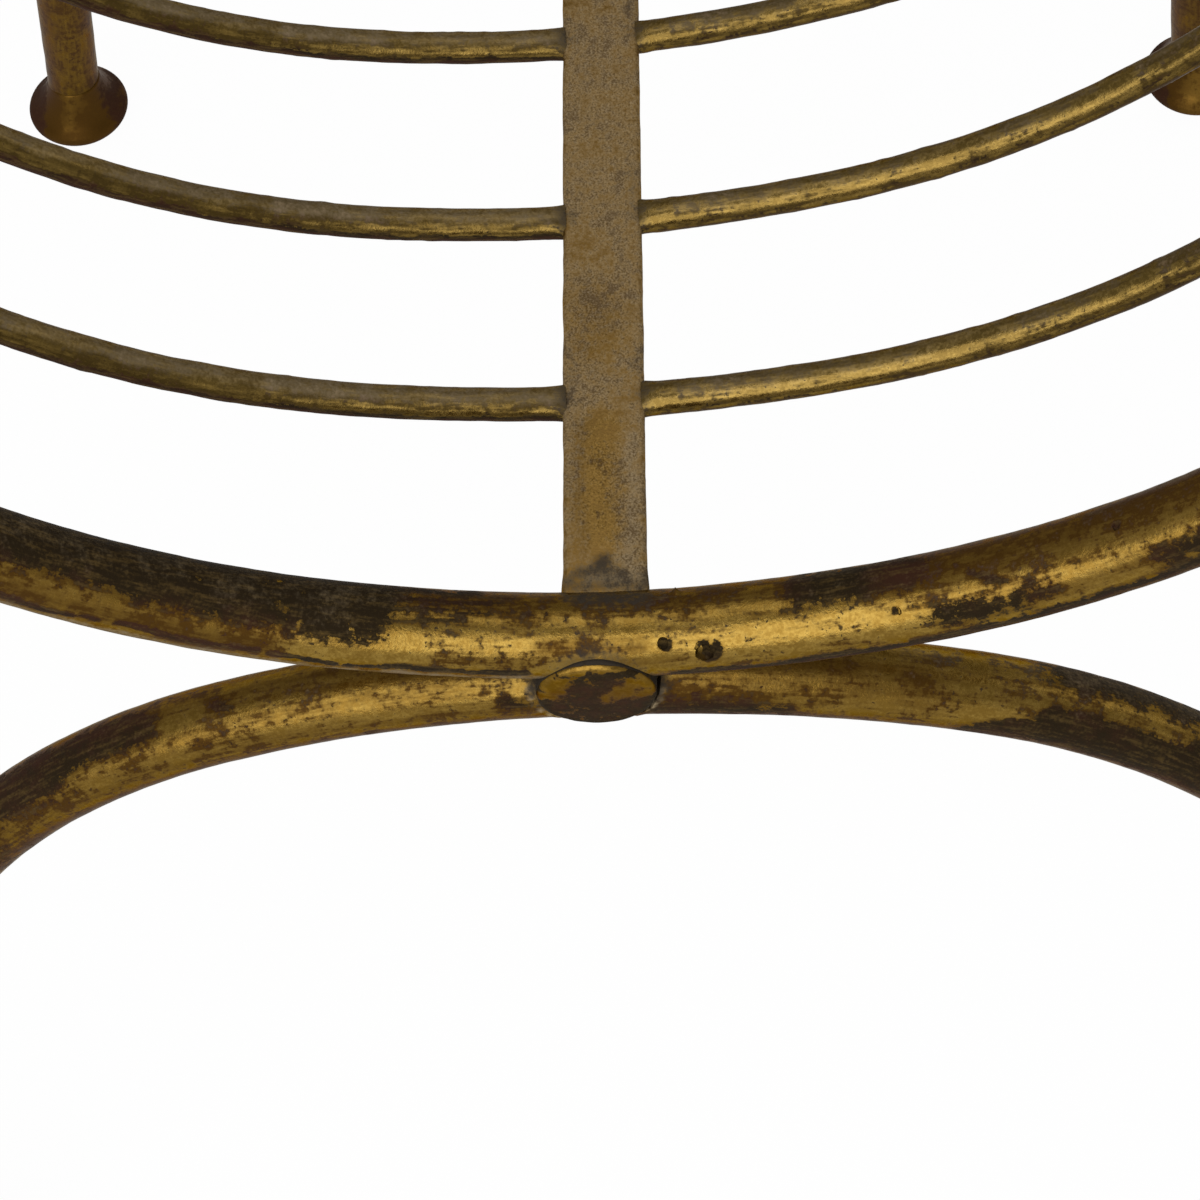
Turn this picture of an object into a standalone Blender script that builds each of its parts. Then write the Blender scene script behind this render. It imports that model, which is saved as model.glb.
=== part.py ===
"""An iron side chair, in metres, with +Z up, +Y towards the back and +X to the right as seen from the front.

Two frames of round bar, each bent to a U, stand on two leg arches bent the other way. Each pair touches
at one point and is riveted there. Thin rods hang between two side rails and make a dished seat, and
a flat bar runs down its middle. The back frame rises as two posts with a bowed crest rail and rods.
The origin is on the floor, under the middle of the chair's box.
"""

from math import asin, atan2, ceil, cos, pi, radians, sin, tan

import bmesh
import bpy
from mathutils import Matrix, Vector

# Stock
FRAME_DIA = 0.0187
SIDE_RAIL_DIA = 0.016
CREST_DIA = 0.016
ROD_DIA = 0.0078
FLAT_WIDTH = 0.0186
FLAT_THICKNESS = 0.005
GAP = 0.0003

# The dish: one bend, shared by both frames and all the seat rods, measured from its lowest point
DISH_FLOOR_RADIUS = 0.246
DISH_FLOOR_ANGLE = radians(13.7)
DISH_SIDE_RADIUS = 0.1742
SIDE_RAIL_ANGLE = radians(64)
FRONT_TIP_ANGLE = radians(80)

# The leg arches, measured from the crown
CROWN_RADIUS = 0.259
CROWN_ANGLE = radians(20)
SHOULDER_RADIUS = 0.153
LEG_SPLAY = radians(7)
LEG_RAKE = radians(6.2)

# The seat
JOINT_HEIGHT = 0.335
SEAT_FALL = radians(1.15)
ROD_SPACES = (0.0584, 0.0515, 0.0545, 0.0505, 0.0545, 0.0515, 0.0584)
ROD_RISE = 0.003
ROD_SKEW = radians(1.33)

# The back
BACK_HEIGHT = 0.86
BACK_RAKE = radians(10)
CREST_DROP = 0.045
BACK_BOW = 0.03
BACK_ROD_COUNT = 4
LOWEST_ROD_RISE = 0.014

# The rivets that hold the frames to the arches
RIVET_DIA = 0.008
RIVET_HEAD_DIA = 0.027
RIVET_HEAD_THICKNESS = 0.0065
RIVET_HEAD_REACH = 0.0112
RIVET_HEAD_CROWN = 0.0008
RIVET_TAIL_DIA = 0.015
RIVET_TAIL_SEAT = 0.005
RIVET_TAIL_HEIGHT = 0.0042
RIVET_SEAT_GAP = 0.0006
FRONT_RIVET_OFFSET = -0.0033

# The feet
FOOT_DIA = 0.037
FOOT_HEIGHT = 0.014
FOOT_EDGE_WIDTH = 0.0065
TENON_DIA = 0.008
TENON_LENGTH = 0.014

# Fineness of the round pieces
FRAME_RESOLUTION = 6
ROD_RESOLUTION = 3
TURNED_STEPS = 28
BEND_STEP = radians(6)
ROD_BEND_STEP = radians(7)
CREST_BEND_STEP = radians(2)
BACK_ROD_BEND_STEP = radians(3)
PROFILE_STEP = radians(22.5)
DOME_STEPS = 4
DOME_TURN = radians(78)
SHARP_ANGLE = radians(40)
MERGE_DISTANCE = 0.00001

# Places that follow from the sizes above
ROD_COUNT = len(ROD_SPACES) - 1
SEAT_DEPTH = sum(ROD_SPACES)
REAR_JOINT_HEIGHT = JOINT_HEIGHT - SEAT_DEPTH * tan(SEAT_FALL)
AXIS_TO_JOINT = (FRAME_DIA + GAP) / 2
POST_OFFSET = (DISH_FLOOR_RADIUS - DISH_SIDE_RADIUS) * sin(DISH_FLOOR_ANGLE) + DISH_SIDE_RADIUS
BACK_LENGTH = (BACK_HEIGHT - REAR_JOINT_HEIGHT - AXIS_TO_JOINT) / cos(BACK_RAKE)
CREST_LEVEL = BACK_LENGTH - CREST_DROP
CREST_REACH = CREST_LEVEL * sin(BACK_RAKE) + BACK_BOW * cos(BACK_RAKE) + CREST_DIA / 2
FOOT_REACH = (JOINT_HEIGHT - AXIS_TO_JOINT - FOOT_HEIGHT) * tan(LEG_RAKE) + FOOT_DIA / 2
FRONT_Y = (FOOT_REACH - SEAT_DEPTH - CREST_REACH) / 2
REAR_Y = FRONT_Y + SEAT_DEPTH

FRONT_FRAME_PLACE = Matrix.Translation((0, FRONT_Y, JOINT_HEIGHT + AXIS_TO_JOINT))
BACK_FRAME_PLACE = (Matrix.Translation((0, REAR_Y, REAR_JOINT_HEIGHT + AXIS_TO_JOINT))
                    @ Matrix.Rotation(-BACK_RAKE, 4, "X"))


def clear_scene():
    """Remove everything that the scene starts with."""
    for item in list(bpy.data.objects):
        bpy.data.objects.remove(item, do_unlink=True)


def make_collection(name):
    """Make a collection in the scene."""
    collection = bpy.data.collections.new(name)
    bpy.context.scene.collection.children.link(collection)
    return collection


def make_material(name, colour, roughness):
    """Make a worn gilt metal with its own colour and roughness."""
    material = bpy.data.materials.new(name)
    material.use_nodes = True
    shader = material.node_tree.nodes["Principled BSDF"]
    shader.inputs["Base Color"].default_value = (*colour, 1.0)
    shader.inputs["Roughness"].default_value = roughness
    shader.inputs["Metallic"].default_value = 0.8
    material.diffuse_color = (*colour, 1.0)
    return material


clear_scene()
PARTS = make_collection("iron_side_chair")
CUTTERS = make_collection("cutters")
FRAME_METAL = make_material("gilt_frame", (0.36, 0.25, 0.10), 0.38)
ROD_METAL = make_material("gilt_rods", (0.30, 0.24, 0.12), 0.42)
FLAT_METAL = make_material("dull_flat_bar", (0.27, 0.23, 0.15), 0.60)
RIVET_METAL = make_material("gilt_rivets", (0.38, 0.25, 0.09), 0.35)
FOOT_METAL = make_material("gilt_feet", (0.28, 0.19, 0.08), 0.45)


def add_part(name, data, place, metal):
    """Put a finished piece in the chair, in its own copy of its metal."""
    part = bpy.data.objects.new(name, data)
    part.matrix_world = place
    own_metal = metal.copy()
    own_metal.name = name + "_metal"
    data.materials.append(own_metal)
    PARTS.objects.link(part)
    return part


def add_cutter(name, data, place):
    """Add a shape that only cuts others."""
    cutter = bpy.data.objects.new(name, data)
    cutter.matrix_world = place
    cutter.hide_render = True
    cutter.display_type = "WIRE"
    CUTTERS.objects.link(cutter)
    return cutter


def cut(part, cutter):
    """Take the cutter's shape out of the part."""
    boolean = part.modifiers.new(cutter.name, "BOOLEAN")
    boolean.operation = "DIFFERENCE"
    boolean.solver = "EXACT"
    boolean.object = cutter


def bend_point(angle, first_radius, change_angle, second_radius):
    """A point on a bend that leaves the origin along +X and turns towards +Z on two radii."""
    first = min(angle, change_angle)
    across = first_radius * sin(first) + second_radius * (sin(angle) - sin(first))
    rise = first_radius * (1 - cos(first)) + second_radius * (cos(first) - cos(angle))
    return Vector((across, 0, rise))


def dish_point(angle):
    """A point on the seat's bend, where its slope is the given angle."""
    return bend_point(angle, DISH_FLOOR_RADIUS, DISH_FLOOR_ANGLE, DISH_SIDE_RADIUS)


def arch_point(angle):
    """A point on a leg arch, where its slope is the given angle."""
    point = bend_point(angle, CROWN_RADIUS, CROWN_ANGLE, SHOULDER_RADIUS)
    return Vector((point.x, 0, -point.z))


def spread(start, end, step):
    """Evenly spaced angles from start to end, no further apart than the step."""
    count = ceil((end - start) / step)
    return [start + (end - start) * i / count for i in range(count + 1)]


def mirrored(half):
    """A whole symmetric path from its right half, which starts in the middle."""
    return [Vector((-p.x, p.y, p.z)) for p in reversed(half[1:])] + half


def bar_mesh(points, diameter, resolution, domed=False):
    """The mesh of a round bar along a path, with flat or domed ends."""
    radii = [1.0] * len(points)
    if domed:
        points, radii = with_domes(points, diameter / 2)
    curve = bpy.data.curves.new("bar", "CURVE")
    curve.dimensions = "3D"
    curve.bevel_depth = diameter / 2
    curve.bevel_resolution = resolution
    curve.use_fill_caps = True
    spline = curve.splines.new("POLY")
    spline.points.add(len(points) - 1)
    for place, point, radius in zip(spline.points, points, radii):
        place.co = (*point, 1)
        place.radius = radius
    carrier = bpy.data.objects.new("bar", curve)
    bpy.context.scene.collection.objects.link(carrier)
    evaluated = carrier.evaluated_get(bpy.context.evaluated_depsgraph_get())
    mesh = bpy.data.meshes.new_from_object(evaluated)
    bpy.data.objects.remove(carrier, do_unlink=True)
    weld_caps(mesh)
    return mesh


def with_domes(points, radius):
    """The path with a rounded end added beyond each of its ends, and the radius share at each point."""
    turns = [DOME_TURN * i / DOME_STEPS for i in range(1, DOME_STEPS + 1)]
    last = (points[-1] - points[-2]).normalized()
    first = (points[0] - points[1]).normalized()
    after = [points[-1] + last * radius * sin(turn) for turn in turns]
    before = [points[0] + first * radius * sin(turn) for turn in reversed(turns)]
    shares = [cos(turn) for turn in turns]
    return before + points + after, shares[::-1] + [1.0] * len(points) + shares


def weld_caps(mesh):
    """Close a bar's ends, and shade its round side smooth."""
    body = bmesh.new()
    body.from_mesh(mesh)
    bmesh.ops.remove_doubles(body, verts=body.verts, dist=MERGE_DISTANCE)
    bmesh.ops.recalc_face_normals(body, faces=body.faces)
    body.to_mesh(mesh)
    body.free()
    mesh.shade_smooth()
    mesh.set_sharp_from_angle(angle=SHARP_ANGLE)


def block_mesh(size):
    """The mesh of a box around the origin."""
    body = bmesh.new()
    bmesh.ops.create_cube(body, size=1, matrix=Matrix.Diagonal((*size, 1)))
    mesh = bpy.data.meshes.new("block")
    body.to_mesh(mesh)
    body.free()
    return mesh


def round_mesh(diameter, length):
    """The mesh of a cylinder that stands on the origin."""
    body = bmesh.new()
    bmesh.ops.create_cone(body, cap_ends=True, segments=TURNED_STEPS, radius1=diameter / 2,
                          radius2=diameter / 2, depth=length, matrix=Matrix.Translation((0, 0, length / 2)))
    mesh = bpy.data.meshes.new("round")
    body.to_mesh(mesh)
    body.free()
    return mesh


def turned_mesh(profile):
    """The mesh of a profile of radius and height pairs, listed from top to bottom, turned about Z."""
    outline = bpy.data.meshes.new("profile")
    points = [(radius, 0, height) for radius, height in profile]
    outline.from_pydata(points, [(i, i + 1) for i in range(len(points) - 1)], [])
    carrier = bpy.data.objects.new("profile", outline)
    bpy.context.scene.collection.objects.link(carrier)
    screw = carrier.modifiers.new("turn", "SCREW")
    screw.axis = "Z"
    screw.angle = 2 * pi
    screw.steps = TURNED_STEPS
    screw.render_steps = TURNED_STEPS
    screw.use_merge_vertices = True
    screw.merge_threshold = MERGE_DISTANCE
    evaluated = carrier.evaluated_get(bpy.context.evaluated_depsgraph_get())
    mesh = bpy.data.meshes.new_from_object(evaluated)
    bpy.data.objects.remove(carrier, do_unlink=True)
    mesh.shade_smooth()
    mesh.set_sharp_from_angle(angle=SHARP_ANGLE)
    return mesh


def frame_path(tip_angle, post_length):
    """A U frame's centreline: the dish bend on both sides, then a straight post."""
    half = [dish_point(angle) for angle in spread(0, tip_angle, BEND_STEP)]
    if post_length > 0:
        half.append(half[-1] + post_length * Vector((cos(tip_angle), 0, sin(tip_angle))))
    return mirrored(half)


def make_frames():
    """The front frame, and the back frame whose sides rise as posts; each with a cutter a gap larger."""
    front_path = frame_path(FRONT_TIP_ANGLE, 0)
    straight = BACK_LENGTH - FRAME_DIA / 2 * sin(DOME_TURN) - dish_point(pi / 2).z
    back_path = frame_path(pi / 2, straight)
    frames = []
    for name, path, place in (("front_frame", front_path, FRONT_FRAME_PLACE),
                              ("back_frame", back_path, BACK_FRAME_PLACE)):
        mesh = bar_mesh(path, FRAME_DIA, FRAME_RESOLUTION, domed=True)
        room = bar_mesh(path, FRAME_DIA + 2 * GAP, FRAME_RESOLUTION)
        frames.append(add_part(name, mesh, place, FRAME_METAL))
        frames.append(add_cutter(name + "_room", room, place))
    return frames


def leg_run(crown_height):
    """How far down a leg arch's own plane the foot's top lies, and how far out the leg is there."""
    drop = (crown_height - FOOT_HEIGHT) / cos(LEG_RAKE)
    bend_end = arch_point(pi / 2 - LEG_SPLAY)
    out = bend_end.x + (drop + bend_end.z) * tan(LEG_SPLAY)
    return drop, out


def make_leg_arch(end, y, joint_height, rake):
    """A leg arch, cut level above its feet and drilled for their tenons, and the two feet."""
    crown_height = joint_height - AXIS_TO_JOINT
    drop, out = leg_run(crown_height)
    half = [arch_point(angle) for angle in spread(0, pi / 2 - LEG_SPLAY, BEND_STEP)]
    overrun = FOOT_HEIGHT / 2
    half.append(Vector((out + overrun * tan(LEG_SPLAY), 0, -drop - overrun)))
    place = Matrix.Translation((0, y, crown_height)) @ Matrix.Rotation(rake, 4, "X")
    mesh = bar_mesh(mirrored(half), FRAME_DIA, FRAME_RESOLUTION)
    arch = add_part(end + "_leg_arch", mesh, place, FRAME_METAL)

    foot_y = y + drop * sin(rake)
    below = block_mesh((2 * out + 4 * FRAME_DIA, 4 * FRAME_DIA, 2 * FOOT_HEIGHT))
    cut(arch, add_cutter(end + "_floor_room", below, Matrix.Translation((0, foot_y, GAP))))
    for side, sign in (("left", -1), ("right", 1)):
        foot_place = Matrix.Translation((sign * out, foot_y, 0))
        socket = round_mesh(TENON_DIA + 2 * GAP, FOOT_HEIGHT + TENON_LENGTH + GAP)
        cut(arch, add_cutter(end + "_socket_" + side, socket, foot_place))
        add_part(end + "_foot_" + side, turned_mesh(foot_profile()), foot_place, FOOT_METAL)
    return arch


def foot_profile():
    """A flattened ball with a tenon on top, from top to bottom."""
    tenon_top = FOOT_HEIGHT + TENON_LENGTH
    profile = [(0, tenon_top), (TENON_DIA / 2, tenon_top), (TENON_DIA / 2, FOOT_HEIGHT)]
    flat = FOOT_DIA / 2 - FOOT_EDGE_WIDTH
    for turn in spread(0, pi, PROFILE_STEP):
        profile.append((flat + FOOT_EDGE_WIDTH * sin(turn), FOOT_HEIGHT / 2 * (1 + cos(turn))))
    profile.append((0, 0))
    return profile


def rivet_profile(clearance):
    """A rivet from its broad crowned head to its peened tail; with a clearance, the room it needs."""
    room = clearance > 0
    shank = RIVET_DIA / 2 + clearance
    head = RIVET_HEAD_DIA / 2 + clearance
    tail = RIVET_TAIL_DIA / 2 + clearance
    head_back = RIVET_HEAD_REACH - RIVET_HEAD_THICKNESS - clearance
    tail_front = clearance - RIVET_TAIL_SEAT
    if room:
        top = [(0, FRAME_DIA), (head, FRAME_DIA)]
        bottom = [(tail, -FRAME_DIA), (0, -FRAME_DIA)]
    else:
        top = [(head * sin(turn), RIVET_HEAD_REACH + RIVET_HEAD_CROWN * cos(turn))
               for turn in spread(0, pi / 2, PROFILE_STEP)]
        bottom = [(tail * cos(turn), tail_front - RIVET_TAIL_HEIGHT * sin(turn))
                  for turn in spread(0, pi / 2, PROFILE_STEP)]
    shoulders = [(head, head_back), (shank, head_back), (shank, tail_front), (tail, tail_front)]
    profile = top + shoulders + bottom
    return [point for i, point in enumerate(profile) if i == 0 or point != profile[i - 1]]


def make_rivet(end, x, y, joint_height, turn, held):
    """A rivet where a frame touches its arch, and its seat in both bars."""
    place = Matrix.Translation((x, y, joint_height)) @ Matrix.Rotation(turn, 4, "X")
    add_part(end + "_rivet", turned_mesh(rivet_profile(0)), place, RIVET_METAL)
    seat = add_cutter(end + "_rivet_room", turned_mesh(rivet_profile(RIVET_SEAT_GAP)), place)
    for bar in held:
        cut(bar, seat)


def rod_height(y):
    """The height of the seat rods' lowest points, which fall towards the back."""
    return JOINT_HEIGHT + AXIS_TO_JOINT + ROD_RISE - (y - FRONT_Y) * tan(SEAT_FALL)


def make_centre_bar(frame_rooms):
    """The flat bar under the middle of the seat, coped to both frames."""
    middle = (FRONT_Y + REAR_Y) / 2
    place = Matrix.Translation((0, middle, rod_height(middle))) @ Matrix.Rotation(-SEAT_FALL, 4, "X")
    mesh = block_mesh((FLAT_WIDTH, SEAT_DEPTH / cos(SEAT_FALL), FLAT_THICKNESS))
    bar = add_part("centre_bar", mesh, place, FLAT_METAL)
    for room in frame_rooms:
        cut(bar, room)


def side_rail_ends(sign):
    """The points where a side rail's axis meets the front and back frames' axes."""
    meeting = dish_point(SIDE_RAIL_ANGLE)
    meeting.x *= sign
    return FRONT_FRAME_PLACE @ meeting, BACK_FRAME_PLACE @ meeting


def make_side_rail(side, sign, frame_rooms):
    """A rail between the two frames, coped to both."""
    start, end = side_rail_ends(sign)
    mesh = bar_mesh([Vector(), end - start], SIDE_RAIL_DIA, FRAME_RESOLUTION)
    rail = add_part("side_rail_" + side, mesh, Matrix.Translation(start), FRAME_METAL)
    for room in frame_rooms:
        cut(rail, room)


def make_seat_rod(number, side, sign):
    """Half a seat rod, from the centre bar's edge to a side rail."""
    y = FRONT_Y + sum(ROD_SPACES[:number])
    skew = ROD_SKEW * min(number, ROD_COUNT + 1 - number)
    lean = ROD_DIA / 2 * sin(skew)
    start = asin((FLAT_WIDTH / 2 + GAP + 2 * lean) / DISH_FLOOR_RADIUS)

    front, back = side_rail_ends(sign)
    end_y = y + front.x * tan(skew)
    rail = front.lerp(back, (end_y - front.y) / (back.y - front.y))
    hub = dish_point(DISH_FLOOR_ANGLE)
    hub_across = hub.x - DISH_SIDE_RADIUS * sin(DISH_FLOOR_ANGLE)
    hub_rise = hub.z + DISH_SIDE_RADIUS * cos(DISH_FLOOR_ANGLE)
    meeting = atan2(abs(rail.x) / cos(skew) - hub_across, hub_rise - rail.z + rod_height(y))
    end = meeting - (SIDE_RAIL_DIA / 2 + GAP + lean) / DISH_SIDE_RADIUS

    path = [dish_point(angle) for angle in spread(start, end, ROD_BEND_STEP)]
    path = [Vector((sign * p.x, 0, p.z)) for p in path]
    place = Matrix.Translation((0, y, rod_height(y))) @ Matrix.Rotation(skew, 4, "Z")
    mesh = bar_mesh(path, ROD_DIA, ROD_RESOLUTION)
    add_part("seat_rod_%d_%s" % (number, side), mesh, place, ROD_METAL)


def bow_path(bow, start_offset, end_offset, step):
    """The right half of an arc that bows back from post to post, between two distances from the middle."""
    radius = (POST_OFFSET ** 2 + bow ** 2) / (2 * bow)
    turns = spread(asin(start_offset / radius), asin(end_offset / radius), step)
    return [Vector((radius * sin(turn), bow - radius * (1 - cos(turn)), 0)) for turn in turns]


def make_crest(back_room):
    """The bowed top rail, coped to the posts, and a cutter a gap larger."""
    place = BACK_FRAME_PLACE @ Matrix.Translation((0, 0, CREST_LEVEL))
    path = mirrored(bow_path(BACK_BOW, 0, POST_OFFSET, CREST_BEND_STEP))
    crest = add_part("crest_rail", bar_mesh(path, CREST_DIA, FRAME_RESOLUTION), place, FRAME_METAL)
    cut(crest, back_room)
    return add_cutter("crest_room", bar_mesh(path, CREST_DIA + 2 * GAP, FRAME_RESOLUTION), place)


def make_spine(back_room, crest_room):
    """The flat bar up the middle of the back, from the back frame to the crest rail."""
    lean = atan2(BACK_BOW, CREST_LEVEL)
    length = CREST_LEVEL / cos(lean)
    mesh = block_mesh((FLAT_WIDTH, FLAT_THICKNESS, length))
    place = BACK_FRAME_PLACE @ Matrix.Rotation(-lean, 4, "X") @ Matrix.Translation((0, 0, length / 2))
    spine = add_part("back_spine", mesh, place, FLAT_METAL)
    cut(spine, back_room)
    cut(spine, crest_room)


def back_rod_level(number):
    """The height of a back rod, evenly spaced from just above the posts' bend up to the crest rail."""
    lowest = dish_point(pi / 2).z + LOWEST_ROD_RISE
    return lowest + (CREST_LEVEL - lowest) * (number - 1) / BACK_ROD_COUNT


def make_back_rod(number, side, sign):
    """Half a back rod, from the spine's edge to a post."""
    level = back_rod_level(number)
    bow = BACK_BOW * level / CREST_LEVEL
    path = bow_path(bow, FLAT_WIDTH / 2 + GAP, POST_OFFSET - FRAME_DIA / 2 - GAP, BACK_ROD_BEND_STEP)
    path = [Vector((sign * p.x, p.y, 0)) for p in path]
    place = BACK_FRAME_PLACE @ Matrix.Translation((0, 0, level))
    mesh = bar_mesh(path, ROD_DIA, ROD_RESOLUTION)
    add_part("back_rod_%d_%s" % (number, side), mesh, place, ROD_METAL)


def build():
    """Build the whole chair."""
    front_frame, front_room, back_frame, back_room = make_frames()
    front_arch = make_leg_arch("front", FRONT_Y, JOINT_HEIGHT, -LEG_RAKE)
    rear_arch = make_leg_arch("rear", REAR_Y, REAR_JOINT_HEIGHT, LEG_RAKE)
    make_rivet("front", FRONT_RIVET_OFFSET, FRONT_Y, JOINT_HEIGHT, pi / 2, (front_frame, front_arch))
    make_rivet("rear", 0, REAR_Y, REAR_JOINT_HEIGHT, -pi / 2, (back_frame, rear_arch))
    frame_rooms = (front_room, back_room)
    make_centre_bar(frame_rooms)
    make_spine(back_room, make_crest(back_room))
    for side, sign in (("left", -1), ("right", 1)):
        make_side_rail(side, sign, frame_rooms)
        for number in range(1, ROD_COUNT + 1):
            make_seat_rod(number, side, sign)
        for number in range(1, BACK_ROD_COUNT + 1):
            make_back_rod(number, side, sign)


build()
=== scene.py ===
# %% [markdown]
# # An iron side chair in worn gilding
#
# The chair is bent from round iron bar. Two U-shaped frames stand on two leg arches, thin rods hang
# between them as seat and back, and a flat bar runs down the middle of each. All of it was gilded over
# a dark brown ground, and years of use have rubbed the gilding through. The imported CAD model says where
# each piece sits. This lesson draws every bar again with finer sections, welds and dents, then gilds it.

# %% Load the frame
from collections import namedtuple
from math import asin, atan2, cos, degrees, exp, pi, radians, sin, tan

import bmesh
import bpy
import numpy as np
from mathutils import Matrix, Vector, kdtree, noise


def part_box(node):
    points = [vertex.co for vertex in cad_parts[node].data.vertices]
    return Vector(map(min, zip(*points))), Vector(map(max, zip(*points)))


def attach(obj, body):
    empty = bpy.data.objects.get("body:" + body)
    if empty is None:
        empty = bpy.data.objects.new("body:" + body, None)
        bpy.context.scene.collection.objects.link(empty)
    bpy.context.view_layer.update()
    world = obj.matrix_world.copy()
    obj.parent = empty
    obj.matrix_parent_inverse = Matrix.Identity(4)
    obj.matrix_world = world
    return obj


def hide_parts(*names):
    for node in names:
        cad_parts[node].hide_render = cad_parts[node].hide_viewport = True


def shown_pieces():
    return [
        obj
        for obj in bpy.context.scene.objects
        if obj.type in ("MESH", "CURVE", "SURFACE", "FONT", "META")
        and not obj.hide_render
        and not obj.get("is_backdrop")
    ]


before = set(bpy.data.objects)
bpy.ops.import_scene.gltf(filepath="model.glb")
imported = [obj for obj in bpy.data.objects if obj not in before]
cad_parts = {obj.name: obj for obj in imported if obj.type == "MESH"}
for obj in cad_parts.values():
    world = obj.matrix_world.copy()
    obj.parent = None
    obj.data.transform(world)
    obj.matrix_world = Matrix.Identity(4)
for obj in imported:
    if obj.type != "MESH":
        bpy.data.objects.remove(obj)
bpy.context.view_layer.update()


def add_object(name, data):
    """A new object in the scene."""
    made = bpy.data.objects.new(name, data)
    bpy.context.scene.collection.objects.link(made)
    return made


# %% [markdown]
# The picture was taken from above the front of the seat, steeply down and through a long lens, with the
# camera a little tilted. A camera can be turned by pointing it at a target, but then the tilt is lost.
# Three plain turns, one after the other, keep it: a turn to the side, a look down and a roll.

# %% Camera
rail_low, rail_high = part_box("front_frame")
BAR = rail_high.y - rail_low.y
FRONT_Y = (rail_low.y + rail_high.y) / 2
TOUCH = Vector((0, FRONT_Y, rail_low.z))

EYE_FROM_TOUCH = Vector((0.0208, -0.3425, 0.6398))
LOOK_ASIDE = radians(3.7042)
LOOK_DOWN = radians(60.9085)
LOOK_ROLL = radians(-5.1457)
FOCAL_WIDTHS = 3250 / 1200

camera_data = bpy.data.cameras.new("camera")
camera_data.sensor_width = 36
camera_data.lens = FOCAL_WIDTHS * camera_data.sensor_width
camera_data.clip_start = 0.01
camera = add_object("camera", camera_data)
camera.matrix_world = (Matrix.Translation(TOUCH + EYE_FROM_TOUCH) @ Matrix.Rotation(LOOK_ASIDE, 4, "Z")
                       @ Matrix.Rotation(pi / 2 - LOOK_DOWN, 4, "X") @ Matrix.Rotation(LOOK_ROLL, 4, "Z"))
bpy.context.scene.camera = camera
print("Bar of", round(BAR * 1000, 2), "mm, lens of", round(camera_data.lens, 1), "mm")

# %% [markdown]
# Gilt metal shows its surroundings, so the light is a plain studio: an even grey world, one broad soft
# lamp in front and a little to the left for the long highlights, and two weak ones that fill in from the
# right and from above. The floor is white paper that sweeps up far behind the chair on every side, so no
# view shows an edge. To the eye and in reflections it glows, so its shadows stay faint.

# %% Light and floor
SEAT_MIDDLE = Vector((0, 0, 0.34))


def soft_lamp(name, place, size, radiance):
    """A square area lamp that faces the seat and shines with the given brightness."""
    lamp = bpy.data.lights.new(name, "AREA")
    lamp.shape = "SQUARE"
    lamp.size = size
    lamp.energy = 4 * radiance * size * size
    holder = add_object(name, lamp)
    holder.location = place
    holder.rotation_euler = (Vector(place) - SEAT_MIDDLE).to_track_quat("Z", "Y").to_euler()
    holder.visible_camera = False


soft_lamp("front_lamp", (-0.50, -1.65, 1.50), 2.1, 1.98)
soft_lamp("right_lamp", (1.9, 0.1, 1.5), 0.8, 1.0)
soft_lamp("overhead_lamp", (-0.1, 0.3, 2.4), 1.2, 1.2)

world = bpy.data.worlds.new("studio")
world.use_nodes = True
world.node_tree.nodes["Background"].inputs["Color"].default_value = (0.46, 0.46, 0.46, 1)
bpy.context.scene.world = world
bpy.context.scene.view_settings.view_transform = "Standard"

# %% [markdown]
# Shader maths reads best as arithmetic. A small class wraps one socket, and adding or multiplying two
# of them adds a Math node. Every other node comes from one method that sets the node up and joins it.

# %% A finish and its wires


class Wire:
    """One value inside a finish. Arithmetic on it adds Math nodes."""

    def __init__(self, finish, socket):
        self.finish = finish
        self.socket = socket

    def maths(self, operation, first, second):
        return self.finish.node("ShaderNodeMath", {"operation": operation}, {0: first, 1: second})

    def __add__(self, other):
        return self.maths("ADD", self, other)

    def __radd__(self, other):
        return self.maths("ADD", other, self)

    def __sub__(self, other):
        return self.maths("SUBTRACT", self, other)

    def __rsub__(self, other):
        return self.maths("SUBTRACT", other, self)

    def __mul__(self, other):
        return self.maths("MULTIPLY", self, other)


class Finish:
    """A material, and the nodes that are added to it."""

    def __init__(self, name):
        self.material = bpy.data.materials.new(name)
        self.material.use_nodes = True
        self.tree = self.material.node_tree
        self.shader = self.tree.nodes["Principled BSDF"]

    def node(self, kind, settings=None, sockets=None, out=0):
        """Add a node, set it up, join its sockets, and give one of its outputs."""
        made = self.tree.nodes.new(kind)
        for key, value in (settings or {}).items():
            setattr(made, key, value)
        for key, value in (sockets or {}).items():
            self.join(value, made.inputs[key])
        return Wire(self, made.outputs[out])

    def join(self, value, socket):
        """Link a wire to a socket, or set a plain value on it."""
        if isinstance(value, Wire):
            self.tree.links.new(value.socket, socket)
        else:
            socket.default_value = value

    def noise(self, place, scale, detail, roughness=0.55):
        """A cloudy pattern around zero, from about -0.5 to 0.5."""
        cloud = self.node("ShaderNodeTexNoise", {}, {"Vector": place, "Scale": scale, "Detail": detail,
                                                     "Roughness": roughness})
        return (cloud - 0.5) * 2

    def step(self, value, low, high):
        """A soft step that is 0 below low and 1 above high."""
        return self.node("ShaderNodeMapRange", {"interpolation_type": "SMOOTHSTEP"},
                         {"Value": value, "From Min": low, "From Max": high})

    def mix(self, share, first, second):
        """A colour between two others."""
        return self.node("ShaderNodeMix", {"data_type": "RGBA"}, {0: share, 6: first, 7: second}, out=2)

    def attribute(self, name, out="Fac"):
        """A value that was painted on the piece's points."""
        return self.node("ShaderNodeAttribute", {"attribute_name": name}, {}, out=out)


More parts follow.
